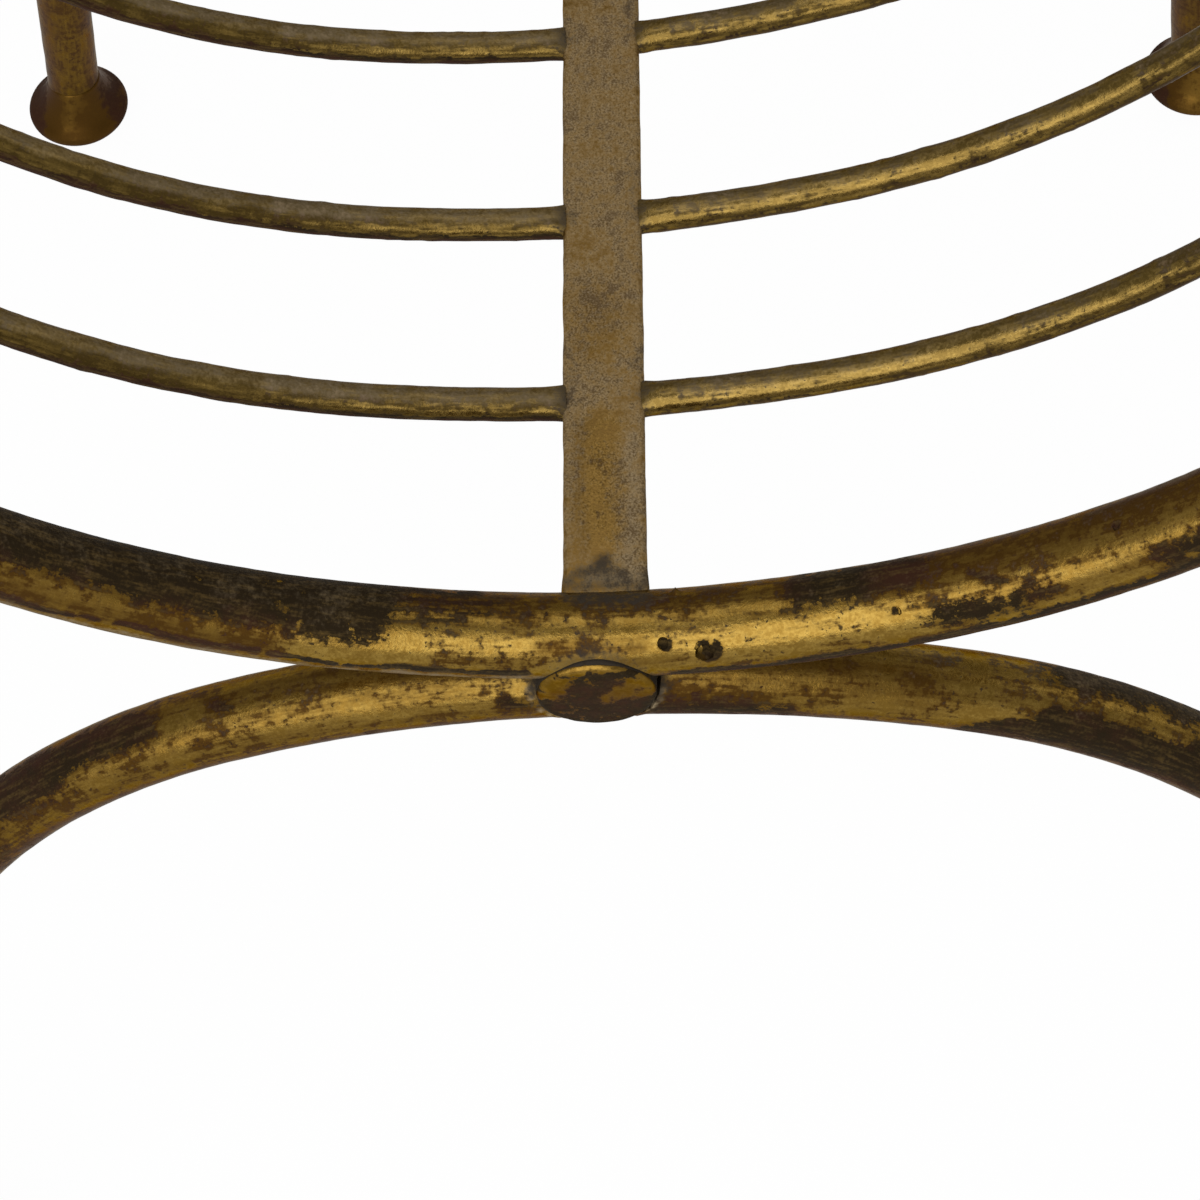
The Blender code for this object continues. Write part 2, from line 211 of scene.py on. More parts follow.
def colour(red, green, blue):
    """A shader colour from the 0 to 255 values that a colour picker shows."""
    shares = [value / 255 for value in (red, green, blue)]
    return (*[s / 12.92 if s <= 0.04045 else ((s + 0.055) / 1.055) ** 2.4 for s in shares], 1)


# %% Floor
paper = Finish("white_paper")
paper.shader.inputs["Base Color"].default_value = (0.88, 0.88, 0.87, 1)
paper_grain = paper.noise(paper.node("ShaderNodeTexCoord", {}, {}, out="Object"), 9, 3)
paper.join(0.85 + paper_grain * 0.05, paper.shader.inputs["Roughness"])
seen = [paper.node("ShaderNodeLightPath", {}, {}, out="Is %s Ray" % way)
        for way in ("Camera", "Glossy", "Transmission")]
glow = paper.node("ShaderNodeEmission", {}, {"Color": (1, 1, 1, 1), "Strength": 1.0})
paper_share = paper.step(seen[0] + seen[1] + seen[2], 0, 1) * 0.97
paper.node("ShaderNodeMixShader")
paper_mix = paper.tree.nodes["Mix Shader"]
paper.join(paper_share, paper_mix.inputs[0])
paper.tree.links.new(paper.shader.outputs[0], paper_mix.inputs[1])
paper.join(glow, paper_mix.inputs[2])
paper.tree.links.new(paper_mix.outputs[0], paper.tree.nodes["Material Output"].inputs["Surface"])

FLOOR_FLAT = 8
FLOOR_REACH = 16
FLOOR_SWEEP = 0.075
sheet = bmesh.new()
rings = [sheet.verts.new((reach, 0, FLOOR_SWEEP * max(reach - FLOOR_FLAT, 0) ** 2))
         for reach in range(FLOOR_REACH + 1)]
spokes = [sheet.edges.new(pair) for pair in zip(rings, rings[1:])]
bmesh.ops.spin(sheet, geom=rings + spokes, cent=(0, 0, 0), axis=(0, 0, 1), angle=2 * pi, steps=64,
               use_merge=True)
bmesh.ops.remove_doubles(sheet, verts=sheet.verts, dist=1e-4)
bmesh.ops.recalc_face_normals(sheet, faces=sheet.faces)
floor_mesh = bpy.data.meshes.new("floor")
sheet.to_mesh(floor_mesh)
sheet.free()
floor_mesh.materials.append(paper.material)
floor = add_object("floor", floor_mesh)
floor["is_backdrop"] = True
print("Floor of", 2 * FLOOR_REACH, "m, lamps:", len(bpy.data.lights))

# %% [markdown]
# The finish has layers, as the real one does. A dark brown ground lies on the iron, gold lies on the
# ground, and dust lies on top. Each piece carries four painted values on its points: bare, where
# the gold has gone and where shade is painted in the dark ground, stain_and_painted_light, where the gold has
# browned, where shade is painted in brown and where clean gold is left as a painted highlight,
# dust, where dust settles and where a pale painted reflection lies under the front rail, and
# soot_and_shade, the dark of the welds and painted shade in the joints and round the rivet heads. Noise at
# several sizes makes their edges ragged. A fifth value, grain, is the place along and around the bar, so
# that scratches can run along it.

# %% Gilding
GOLD = colour(152, 124, 60)
GOLD_DEEP = colour(114, 88, 36)
GOLD_BROWN = colour(68, 46, 15)
GROUND = colour(36, 28, 17)
GROUND_RED = colour(54, 33, 23)
RUBBED = colour(82, 65, 35)
DUST_AND_REFLECTION = colour(146, 129, 101)
SOOT_AND_SHADE = colour(56, 50, 43)


def gilding(name, gilt=GOLD, deep=GOLD_DEEP, shine=0.25, streaks=1.0, speckle=1.0, dust_share=0.8, ragged=1.0,
            patchy=1.0, grime=0.0, tarnish_and_shade=GOLD_BROWN):
    """Worn gilding over a dark ground, under a dusty film, with painted shade and light where the painted
    values lay them.
    """
    coat = Finish(name)
    grain = coat.attribute("grain", "Vector")
    bare, stain_and_painted_light, dust, soot_and_shade = (coat.attribute(layer) for layer in ("bare", "stain_and_painted_light", "dust", "soot_and_shade"))

    along = coat.node("ShaderNodeVectorMath", {"operation": "MULTIPLY"}, {0: grain, 1: (130, 900, 900)})
    streak = coat.noise(along, 1, 4, 0.6) * streaks
    cloud = coat.noise(grain, 90, 5, 0.6)
    mottle = coat.noise(grain, 380, 5, 0.65)
    speck = coat.noise(grain, 1300, 2, 0.5) * speckle
    grit = coat.noise(grain, 1600, 2, 0.6)
    felt = coat.noise(grain, 2000, 2, 0.6)

    # These masks follow the painted values, so besides wear and stain they carry painted shade under the
    # bars, at their far left and on the foot flanks, and the clean gold of a painted highlight on the front
    # of each foot.
    worn = bare + (cloud * 0.5 + mottle * 0.7 + streak * 0.35 + speck * 0.25) * ragged
    lost = coat.step(worn, 0.38, 0.64)
    fleck = coat.step(speck * 0.7 + streak * 0.7 + mottle * 0.4, 0.28, 0.46)
    freckle = coat.step(speck + mottle * 0.8 + cloud * 0.4 + bare * 0.4, 0.42, 0.6) * ragged
    gone = coat.step(lost * (1 - fleck * 0.6) + freckle * 0.85, 0, 1)

    gold = coat.mix(coat.step(mottle + cloud * 0.7 + speck * 0.5, -0.4, 0.45), deep, gilt)
    tone = stain_and_painted_light + cloud * 0.5 + mottle * 0.5 + streak * 0.3 + coat.step(worn, 0.1, 0.5) * 0.4
    brown = coat.step(tone, 0.05, 0.95)
    gold = coat.mix(brown, gold, tarnish_and_shade)
    ground = coat.mix(coat.step(stain_and_painted_light + cloud * 0.5 + mottle * 0.4, 0.2, 0.9), GROUND, GROUND_RED)
    ground = coat.mix(coat.step(streak + speck * 0.4, -0.1, 0.5) * 0.6, ground, RUBBED)
    metal = coat.mix(gone, gold, ground)
    # The dust film also lays the pale painted reflection under the front rail.
    film = coat.step(dust + (cloud * 0.3 + mottle * 0.35 + speck * 0.2) * patchy, 0.12, 1.1) * dust_share
    dusted = coat.mix(film, metal, DUST_AND_REFLECTION)
    dirt = coat.step(felt * 1.1 + mottle * 1.1 + cloud * 0.9, -0.25, 0.6) * grime
    dusted = coat.mix(dirt, dusted, GOLD_BROWN)
    # Grey soot at the welds, together with painted shade in the joints, on the rivet heads' sides and round
    # them.
    soot_and_shade_mix = coat.step(soot_and_shade + cloud * 0.2 + mottle * 0.4 + speck * 0.25, 0.2, 0.85) * 0.92
    coat.join(coat.mix(soot_and_shade_mix, dusted, SOOT_AND_SHADE), coat.shader.inputs["Base Color"])

    clean = (1 - gone * 0.9) * (1 - film * 0.8) * (1 - soot_and_shade_mix * 0.85) * (1 - brown * 0.55)
    coat.join(clean * 0.95, coat.shader.inputs["Metallic"])
    rough = shine + gone * 0.35 + film * 0.4 + soot_and_shade_mix * 0.3 + brown * 0.12 + mottle * 0.1
    coat.join(rough, coat.shader.inputs["Roughness"])
    coat.shader.inputs["Specular IOR Level"].default_value = 0.05
    coat.shader.inputs["Specular Tint"].default_value = (0.42, 0.34, 0.24, 1)
    height = grit + speck * 0.3 - lost * 0.5 + film * speck * 0.8
    bump = coat.node("ShaderNodeBump", {}, {"Strength": 1.0, "Distance": 0.00003, "Height": height})
    coat.join(bump, coat.shader.inputs["Normal"])
    return coat.material


bar_gilding = gilding("bar_gilding")
rod_gilding = gilding("rod_gilding", colour(148, 122, 64), colour(102, 82, 40), streaks=1.6,
                      tarnish_and_shade=colour(64, 50, 22))
flat_gilding = gilding("flat_gilding", colour(160, 127, 64), colour(124, 96, 50), shine=0.42, streaks=0.4,
                       speckle=0.8, dust_share=0.9, patchy=2.4, grime=0.72)
rivet_gilding = gilding("rivet_gilding", colour(140, 110, 48), colour(102, 77, 30), shine=0.32, streaks=0.2,
                        speckle=0.7, ragged=1.6)
foot_gilding = gilding("foot_gilding", colour(142, 110, 46), colour(98, 72, 28), shine=0.3, streaks=0.2,
                       speckle=0.3, dust_share=0.5, ragged=0.45)
print("Finishes:", len(bpy.data.materials))

# %% [markdown]
# A bar is drawn as a run of stations, each with a place, the way the bar goes there and which way is up.
# The bends are the chair's own: the seat's dish turns on two radii, and so do the leg arches. A long arc
# could be a curve object, but stations also say how far along the bar each point lies, for the grain.

# %% Bends
DISH = (0.246, radians(13.7), 0.1742)
ARCH = (0.259, radians(20), 0.153)
Station = namedtuple("Station", "place along up wide tall")


def spread(start, end, count):
    """Evenly spaced values from start to end."""
    return [start + (end - start) * i / count for i in range(count + 1)]


def close_at_ends(start, end, count):
    """Values from start to end that lie closer together near both."""
    return [start + (end - start) * (1 - cos(pi * i / count)) / 2 for i in range(count + 1)]


def bend_station(angle, bend, turn):
    """A station on a bend, by its slope there. The bend turns up with 1 and down with -1."""
    first_radius, change, second_radius = bend
    slope = abs(angle)
    first = min(slope, change)
    across = first_radius * sin(first) + second_radius * (sin(slope) - sin(first))
    rise = first_radius * (1 - cos(first)) + second_radius * (cos(first) - cos(slope))
    side = 1 if angle >= 0 else -1
    return Station(Vector((side * across, 0, turn * rise)), Vector((cos(angle), 0, turn * sin(angle))),
                   Vector((-turn * sin(angle), 0, cos(angle))), 1, 1)


def straight(start, end, up, count):
    """Stations on a straight line, closer together near its ends."""
    along = (end - start).normalized()
    level = up - along * up.dot(along)
    return [Station(start.lerp(end, share), along, level.normalized(), 1, 1)
            for share in close_at_ends(0, 1, count)]


def placed(run, place):
    """A run of stations moved and turned into the chair."""
    turn = place.to_3x3()
    return [Station(place @ s.place, turn @ s.along, turn @ s.up, s.wide, s.tall) for s in run]


def mirrored(run):
    """The same run on the other side of the chair, from its end to its start."""
    return [s._replace(place=Vector((-s.place.x, s.place.y, s.place.z)),
                       along=Vector((s.along.x, -s.along.y, -s.along.z)),
                       up=Vector((-s.up.x, s.up.y, s.up.z))) for s in reversed(run)]


def lengths(run):
    """How far along the run each station lies."""
    reached = [0]
    for before, after in zip(run, run[1:]):
        reached.append(reached[-1] + (after.place - before.place).length)
    return reached


def flared(run, reach, start=(0, 0), end=(0, 0)):
    """A run whose section widens and heightens towards its ends, as a weld does."""
    reached = lengths(run)
    out = []
    for station, here in zip(run, reached):
        near = exp(-here / reach)
        far = exp((here - reached[-1]) / reach)
        out.append(station._replace(wide=station.wide * (1 + start[0] * near + end[0] * far),
                                    tall=station.tall * (1 + start[1] * near + end[1] * far)))
    return out


def domed(run, radius, steps=8):
    """A run with a rounded end beyond each of its ends."""
    turns = [pi / 2 * i / steps for i in range(1, steps + 1)]
    first, last = run[0], run[-1]
    before = [first._replace(place=first.place - first.along * radius * sin(turn), wide=cos(turn),
                             tall=cos(turn)) for turn in reversed(turns)]
    after = [last._replace(place=last.place + last.along * radius * sin(turn), wide=cos(turn),
                           tall=cos(turn)) for turn in turns]
    return before + run + after


def capped(run):
    """A run with flat ends, each closed to a point in its middle."""
    return [run[0]._replace(wide=0, tall=0)] + run + [run[-1]._replace(wide=0, tall=0)]


print("Dish rises", round(bend_station(radians(64), DISH, 1).place.z * 1000, 1), "mm to the side rails")

# %% [markdown]
# Each round bar starts as a flat sheet that is rolled up along its stations. Bar stock of this age isn't
# true, so its surface wanders by a tenth of a millimetre or two, and thin rods have small lumps. Two values
# are kept on every point: the grain, and its spot, which is how many millimetres from the chair's middle
# it lies and how many degrees around the bar, 0 at the front and 90 on top.

# %% Rolling a bar
WANDER = 0.00011
PIMPLE = 0.00005
LUMP = 0.0004
SEAM = 1e-6


def point_layers(body):
    """New layers for the grain and the spot of every point."""
    return [body.verts.layers.float_vector.new(name) for name in ("grain", "spot")]


def roll_bar(run, radius, sides, uneven=1.0, lumpy=0.0):
    """Roll a sheet into a round bar along a run of stations."""
    body = bmesh.new()
    bmesh.ops.create_grid(body, x_segments=len(run) - 1, y_segments=sides, size=1)
    grain, spot = point_layers(body)
    reached = lengths(run)
    for vert in body.verts:
        row = round((vert.co.x + 1) / 2 * (len(run) - 1))
        turn = pi * (vert.co.y + 1)
        station = run[row]
        side = station.along.cross(station.up)
        skin = station.place + (side * cos(turn) + station.up * sin(turn)) * radius
        size = radius + uneven * (WANDER * noise.noise(skin * 100) + PIMPLE * noise.noise(skin * 320))
        size += lumpy * LUMP * max(noise.noise(skin * 270) - 0.22, 0)
        vert[grain] = (reached[row], radius * cos(turn), radius * sin(turn))
        vert[spot] = (1000 * station.place.x, degrees(atan2(sin(turn), cos(turn))), 0)
        vert.co = (station.place + side * (size * station.wide * cos(turn))
                   + station.up * (size * station.tall * sin(turn)))
    bmesh.ops.remove_doubles(body, verts=body.verts, dist=SEAM)
    bmesh.ops.recalc_face_normals(body, faces=body.faces)
    return body


def make_piece(name, body, node, finish):
    """Turn a modelled body into a piece of the chair that stands for its CAD node."""
    mesh = bpy.data.meshes.new(name)
    body.to_mesh(mesh)
    body.free()
    mesh.shade_smooth()
    mesh.materials.append(finish)
    piece = add_object(name, mesh)
    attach(piece, "root")
    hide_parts(node)
    return piece


# %% [markdown]
# The front frame is one bar bent to a shallow U, with rounded tips. The back frame has the same bend, but
# its ends run on as the two posts, and it leans back. Their places come from the CAD boxes. Hammering the
# rivet has pushed the middle of the front bars forward by a millimetre, and the front frame is a little
# thicker than the other bars.

# %% Frames
BACK_RAKE = radians(10)
FRONT_TIP = radians(80)
RADIUS = BAR / 2
RAIL_RADIUS = RADIUS * 1.033
Push = namedtuple("Push", "most reach middle back")
RAIL_PUSH = Push(0.00175, 0.075, 0.0, 0.0005)
ARCH_PUSH = Push(0.0011, 0.06, 0.01, 0.0002)
RIVET_PUSH = 0.0006
HAMMER_THIN = 0.05
HAMMER_REACH = 0.05
FRONT_PLACE = Matrix.Translation((0, FRONT_Y, rail_low.z + RADIUS))
back_low, back_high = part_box("back_frame")
REAR_Y = back_low.y + RADIUS
BACK_PLACE = Matrix.Translation((0, REAR_Y, back_low.z + RADIUS)) @ Matrix.Rotation(-BACK_RAKE, 4, "X")
BACK_LENGTH = (back_high.z - back_low.z - RADIUS) / cos(BACK_RAKE)


def pushed(run, push):
    """A run of stations that bulges forward around the joint."""
    out = []
    for station in run:
        forward = push.most * exp(-((station.place.x - push.middle) / push.reach) ** 2) - push.back
        out.append(station._replace(place=station.place - Vector((0, forward, 0))))
    return out


FINE_TO = radians(40)
front_angles = (spread(-FRONT_TIP, -FINE_TO, 60)[:-1] + spread(-FINE_TO, FINE_TO, 420)
                + spread(FINE_TO, FRONT_TIP, 60)[1:])
front_run = [bend_station(angle, DISH, 1) for angle in front_angles]
front_run = [s._replace(tall=1 - HAMMER_THIN * exp(-(s.place.x / HAMMER_REACH) ** 2)) for s in front_run]
front_run = pushed(placed(front_run, FRONT_PLACE), RAIL_PUSH)
front_body = roll_bar(domed(front_run, RADIUS), RAIL_RADIUS, 96)
front_frame = make_piece("front_frame_bar", front_body, "front_frame", bar_gilding)

back_run = [bend_station(angle, DISH, 1) for angle in spread(-pi / 2, pi / 2, 180)]
post_top = BACK_LENGTH - RADIUS
post_end = Vector((back_run[-1].place.x, 0, post_top))
right_post = straight(back_run[-1].place, post_end, Vector((-1, 0, 0)), 90)
back_run = mirrored(right_post)[:-1] + back_run + right_post[1:]
back_body = roll_bar(domed(placed(back_run, BACK_PLACE), RADIUS), RADIUS, 48)
back_frame = make_piece("back_frame_bar", back_body, "back_frame", bar_gilding)
print("Frames:", len(front_frame.data.vertices), "and", len(back_frame.data.vertices), "points")

# %% [markdown]
# The leg arches bend the other way and splay. Each also leans out of its plane, so the feet stand wider
# apart than the seat is deep. At the foot the leg swells into a weld. The rear arch was set a little askew.

# %% Leg arches
LEG_SPLAY = radians(7)
LEG_RAKE = radians(6.2)
foot_low, foot_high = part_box("front_foot_right")
FOOT_DIA = foot_high.x - foot_low.x
FOOT_HEIGHT = 0.014
LEG_SINK = 0.003
LEG_WELD = (0.3, 0.3)
LEG_WELD_REACH = 0.003
REAR_SLIP = 0.001
REAR_TURN = radians(-0.75)
FRONT_STAND = Matrix.Translation((0, FRONT_Y, 0))
REAR_STAND = Matrix.Translation((REAR_SLIP, REAR_Y, 0)) @ Matrix.Rotation(REAR_TURN, 4, "Z")


def leg_arch(node, stand, rake, sides, push):
    """One arch with both its legs, which end a little inside the feet."""
    crown_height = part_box(node)[1].z - RADIUS
    place = stand @ Matrix.Translation((0, 0, crown_height)) @ Matrix.Rotation(rake, 4, "X")
    shoulder = pi / 2 - LEG_SPLAY
    run = [bend_station(angle, ARCH, -1) for angle in spread(-shoulder, shoulder, 420)]
    bend_end = run[-1]
    drop = (crown_height - FOOT_HEIGHT + LEG_SINK) / cos(rake) + bend_end.place.z
    leg_end = bend_end.place + Vector((drop * tan(LEG_SPLAY), 0, -drop))
    right_leg = straight(bend_end.place, leg_end, bend_end.up, 60)
    run = mirrored(right_leg)[:-1] + run + right_leg[1:]
    run = pushed(placed(flared(run, LEG_WELD_REACH, LEG_WELD, LEG_WELD), place), push)
    return make_piece(node + "_bar", roll_bar(capped(run), RADIUS, sides), node, bar_gilding)


front_arch = leg_arch("front_leg_arch", FRONT_STAND, -LEG_RAKE, 88, ARCH_PUSH)
rear_arch = leg_arch("rear_leg_arch", REAR_STAND, LEG_RAKE, 56, Push(0, 1, 0, 0))
print("Arches:", len(front_arch.data.vertices), "and", len(rear_arch.data.vertices), "points")

# %% [markdown]
# A foot is a flattened ball, turned on a lathe. Spinning half an outline round an axis does the same job.
# The outline starts at the leg with a hollow like a bell's, where the weld was dressed, and follows an
# ellipse down to the floor. The hollow leans with the leg.

# %% Turned pieces and feet


def turn_outline(outline, steps, place, lean=Vector((0, 0, 0)), lean_from=1.0):
    """Spin an outline of radius and height pairs about Z, and put the result in place."""
    body = bmesh.new()
    points = [body.verts.new((radius, 0, height)) for radius, height in outline]
    edges = [body.edges.new(pair) for pair in zip(points, points[1:])]
    bmesh.ops.spin(body, geom=points + edges, cent=(0, 0, 0), axis=(0, 0, 1), angle=2 * pi, steps=steps,
                   use_merge=True)
    bmesh.ops.remove_doubles(body, verts=body.verts, dist=SEAM)
    bmesh.ops.recalc_face_normals(body, faces=body.faces)
    grain, spot = point_layers(body)
    for vert in body.verts:
        vert[grain] = vert.co
        vert[spot] = vert.co * 1000
        vert.co += lean * max(vert.co.z - lean_from, 0)
    bmesh.ops.transform(body, matrix=place, verts=body.verts)
    return body


NECK_TOP = 0.026
NECK_FOOT = 0.0168
NECK_WIDTH = RADIUS * 0.99
HOLLOW_WIDTH = RADIUS * 1.23
HOLLOW_RISE = 0.0046


def foot_outline():
    """The outline of a foot, from the weld at the leg down to the floor."""
    half = FOOT_DIA / 2
    start = asin(NECK_FOOT / half)
    ball = [(half * sin(turn), FOOT_HEIGHT / 2 * (1 + cos(turn))) for turn in spread(start, pi, 36)]
    corner = Vector((HOLLOW_WIDTH, ball[0][1] + HOLLOW_RISE))
    top = Vector((NECK_WIDTH, NECK_TOP))
    hollow = [top.lerp(corner, share).lerp(corner.lerp(Vector(ball[0]), share), share)
              for share in spread(0, 1, 18)[:-1]]
    return [(0, NECK_TOP)] + [tuple(point) for point in hollow] + ball


feet = []
for foot_name in ("front_foot_left", "front_foot_right", "rear_foot_left", "rear_foot_right"):
    low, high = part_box(foot_name)
    middle = (low + high) / 2
    lean = Vector((-tan(LEG_SPLAY) if middle.x > 0 else tan(LEG_SPLAY), 0, 0))
    lean.y = -tan(LEG_RAKE) if middle.y > 0 else tan(LEG_RAKE)
    middle.z = 0
    if middle.y > 0:
        middle = REAR_STAND @ (middle - Vector((0, REAR_Y, 0)))
    body = turn_outline(foot_outline(), 64, Matrix.Translation(middle), lean, FOOT_HEIGHT - LEG_SINK)
    feet.append(make_piece(foot_name + "_ball", body, foot_name, foot_gilding))
print("Feet:", [len(foot.data.vertices) for foot in feet])

# %% [markdown]
# A rivet holds each frame to its arch. Its broad head is let into both bars, a little proud of them, and
# its other end is peened to a dome. The seat is cut with the same outline, slightly larger, by a Boolean
# modifier that is applied at once.

# %% Rivets
RIVET = 0.008
HEAD_DIA = 0.027
HEAD_THICKNESS = 0.0065
HEAD_REACH = 0.0112
HEAD_CROWN = 0.0006
HEAD_EDGE = 0.0015
TAIL_DIA = 0.015
TAIL_SEAT = 0.005
TAIL_HEIGHT = 0.0042
SEAT_GAP = 0.0006
SEAT_SLIP = 0.0004
RIM_SHIFT = 100
RIM_FROM = HEAD_REACH - 0.7 * HEAD_EDGE
DENT = 0.00018
DENTS_PER_METRE = 260


def rivet_outline():
    """A rivet's outline from the crowned head to the peened tail."""
    head = HEAD_DIA / 2
    face = [(share * (head - HEAD_EDGE), HEAD_REACH + HEAD_CROWN * cos(share * pi / 2))
            for share in spread(0, 1, 16)]
    edge = [(head - HEAD_EDGE * (1 - sin(turn)), HEAD_REACH - HEAD_EDGE * (1 - cos(turn)))
            for turn in spread(pi / 12, pi / 2, 6)]
    back = HEAD_REACH - HEAD_THICKNESS
    stem = [(head, back), (RIVET / 2, back), (RIVET / 2, -TAIL_SEAT), (TAIL_DIA / 2, -TAIL_SEAT)]
    tail = [(TAIL_DIA / 2 * cos(turn), -TAIL_SEAT - TAIL_HEIGHT * sin(turn))
            for turn in spread(0.1, pi / 2, 12)]
    return face + edge + stem + tail


def seat_outline():
    """The room that a rivet needs in the bars."""
    head = HEAD_DIA / 2 + SEAT_GAP
    stem = RIVET / 2 + SEAT_GAP
    tail = TAIL_DIA / 2 + SEAT_GAP
    back = HEAD_REACH - HEAD_THICKNESS - SEAT_GAP
    return [(0, BAR), (head, BAR), (head, back), (stem, back), (stem, SEAT_GAP - TAIL_SEAT),
            (tail, SEAT_GAP - TAIL_SEAT), (tail, -BAR), (0, -BAR)]


def cut_away(piece, cutters):
    """Cut bodies out of a piece, and give every point the grain and spot of the nearest old one."""
    before = piece.data
    old_points = kdtree.KDTree(len(before.vertices))
    for vert in before.vertices:
        old_points.insert(vert.co, vert.index)
    old_points.balance()
    tools = []
    for cutter in cutters:
        mesh = bpy.data.meshes.new("cutter")
        cutter.to_mesh(mesh)
        tools.append(add_object("cutter", mesh))
        cut = piece.modifiers.new("cut", "BOOLEAN")
        cut.operation = "DIFFERENCE"
        cut.solver = "EXACT"
        cut.object = tools[-1]
    depsgraph = bpy.context.evaluated_depsgraph_get()
    after = bpy.data.meshes.new_from_object(piece.evaluated_get(depsgraph), preserve_all_data_layers=True,
                                            depsgraph=depsgraph)
    nearest = [old_points.find(vert.co)[1] for vert in after.vertices]
    for layer in ("grain", "spot"):
        values = read_points(before.attributes[layer].data, "vector", len(before.vertices))[nearest]
        after.attributes[layer].data.foreach_set("vector", values.ravel())
    piece.modifiers.clear()
    piece.data = after
    for tool in tools:
        bpy.data.objects.remove(tool)
    after.shade_smooth()
    after.set_sharp_from_angle(angle=radians(45))


def read_points(values, name, count):
    """One property of all points as an array."""
    flat = np.empty(count * 3)
    values.foreach_get(name, flat)
    return flat.reshape(-1, 3)


def rivet_joint(node, turn):
    """A rivet in its place, and the body that cuts its seat."""
    low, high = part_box(node)
    joint_y = FRONT_Y - RIVET_PUSH if turn > 0 else REAR_Y
    place = (Matrix.Translation(((low.x + high.x) / 2, joint_y, (low.z + high.z) / 2))
             @ Matrix.Rotation(turn, 4, "X"))
    body = turn_outline(rivet_outline(), 72, place)
    for vert in body.verts:
        vert.co += vert.normal * DENT * noise.noise(vert.co * DENTS_PER_METRE)
    # The points on the side of the head get a spot of their own, where the painted shade of that side wall is
    # laid.
    spot = body.verts.layers.float_vector["spot"]
    for vert in body.verts:
        if vert[spot].z < 1000 * RIM_FROM:
            vert[spot].y += RIM_SHIFT
    rivet = make_piece(node + "_turned", body, node, rivet_gilding)
    rivet.data.set_sharp_from_angle(angle=radians(60))
    return rivet, turn_outline(seat_outline(), 96, Matrix.Translation((SEAT_SLIP, 0, 0)) @ place)


front_rivet, front_seat = rivet_joint("front_rivet", pi / 2)
rear_rivet, rear_seat = rivet_joint("rear_rivet", -pi / 2)

# %% [markdown]
# The front rail has a few pits right of the rivet, one round with a raised lip and one ragged, and a bead of
# weld on top. Hammering the rivet has also pushed two lips of metal out of the arch, below the head on its
# left and right. They are small, but they are shape, so they are cut with lumpy balls and pushed out of the
# mesh instead of being drawn in the finish.

# %% Pits, a bead and two lips
Pit = namedtuple("Pit", "x turn wide tall depth lip")
PITS = (Pit(12.0, 46, 1.25, 1.55, 1.3, 0.12), Pit(21.6, 28, 2.0, 2.0, 2.6, 0.02),
        Pit(20.4, 38, 1.2, 1.3, 0.8, 0), Pit(23.2, 33, 1.2, 1.2, 0.7, 0),
        Pit(113.0, 84, 0.9, 0.9, 0.7, 0.08), Pit(65.2, 50, 0.5, 0.9, 0.4, 0))
BEAD = Pit(15.6, 124, 1.2, 1.2, 0, 1.6)
MILLIMETRE = 0.001
RING = 1.3 * MILLIMETRE
RING_WIDTH = 0.8 * MILLIMETRE
RING_REACH = 6 * MILLIMETRE
ROUND = 0.08
RAGGED = 0.35
ROUND_LIP = 0.1


def rail_point(x, turn):
    """A place on the front rail's skin, with the way out of it and the way along it."""
    station = min(front_run, key=lambda s: abs(1000 * s.place.x - x))
    side = station.along.cross(station.up)
    out = side * cos(radians(turn)) + station.up * sin(radians(turn))
    return station.place + out * RAIL_RADIUS, out, station.along


for mark in PITS + (BEAD,):
    centre, out, along = rail_point(mark.x, mark.turn)
    ring = RING * max(mark.wide, mark.tall) if mark.depth else 0
    for vert in front_frame.data.vertices:
        away = (vert.co - centre).length
        if away < RING_REACH:
            vert.co += out * MILLIMETRE * mark.lip * exp(-((away - ring) / RING_WIDTH) ** 2)

LIP_RING = 0.0150
LIP_TURNS = [radians(turn) for turn in (192, 200, 208, 216, 224, 232, 240, 302, 310, 318, 326, 334, 342)]
LIP_HEIGHT = 0.0007
LIP_WIDTH = 0.0011
LIP_REACH = 0.003
rivet_low, rivet_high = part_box("front_rivet")
rivet_x = (rivet_low.x + rivet_high.x) / 2
lips = [(rivet_x + LIP_RING * cos(turn), LIP_RING * sin(turn)) for turn in LIP_TURNS]
for vert in front_arch.data.vertices:
    nearest = min((vert.co.x - x) ** 2 + (vert.co.z - TOUCH.z - z) ** 2 for x, z in lips)
    if vert.co.y < FRONT_Y and nearest < LIP_REACH ** 2:
        vert.co += vert.normal * LIP_HEIGHT * exp(-nearest / LIP_WIDTH ** 2)

pit_balls = []
for mark in PITS:
    centre, out, along = rail_point(mark.x, mark.turn)
    ball = bmesh.new()
    bmesh.ops.create_icosphere(ball, subdivisions=3, radius=MILLIMETRE)
    rough = ROUND if mark.lip > ROUND_LIP else RAGGED
    for vert in ball.verts:
        vert.co *= 1 + rough * noise.noise(vert.co * 1400 + centre * 900)
    axes = Matrix((along, out.cross(along), out)).transposed().to_4x4()
    size = Matrix.Diagonal((mark.wide, mark.tall, mark.depth, 1))
    bmesh.ops.transform(ball, matrix=Matrix.Translation(centre) @ axes @ size, verts=ball.verts)
    pit_balls.append(ball)

cut_away(front_frame, [front_seat, *pit_balls])
cut_away(front_arch, [front_seat])
for bar in (back_frame, rear_arch):
    cut_away(bar, [rear_seat])
print("Pits:", len(PITS), "rail now has", len(front_frame.data.vertices), "points")

# %% [markdown]
# The flat bars are strips with softened corners. A cube is stretched and its long edges are bevelled, then
# it is divided along and across, so that its faces can be uneven and its ends can spread into the welds.

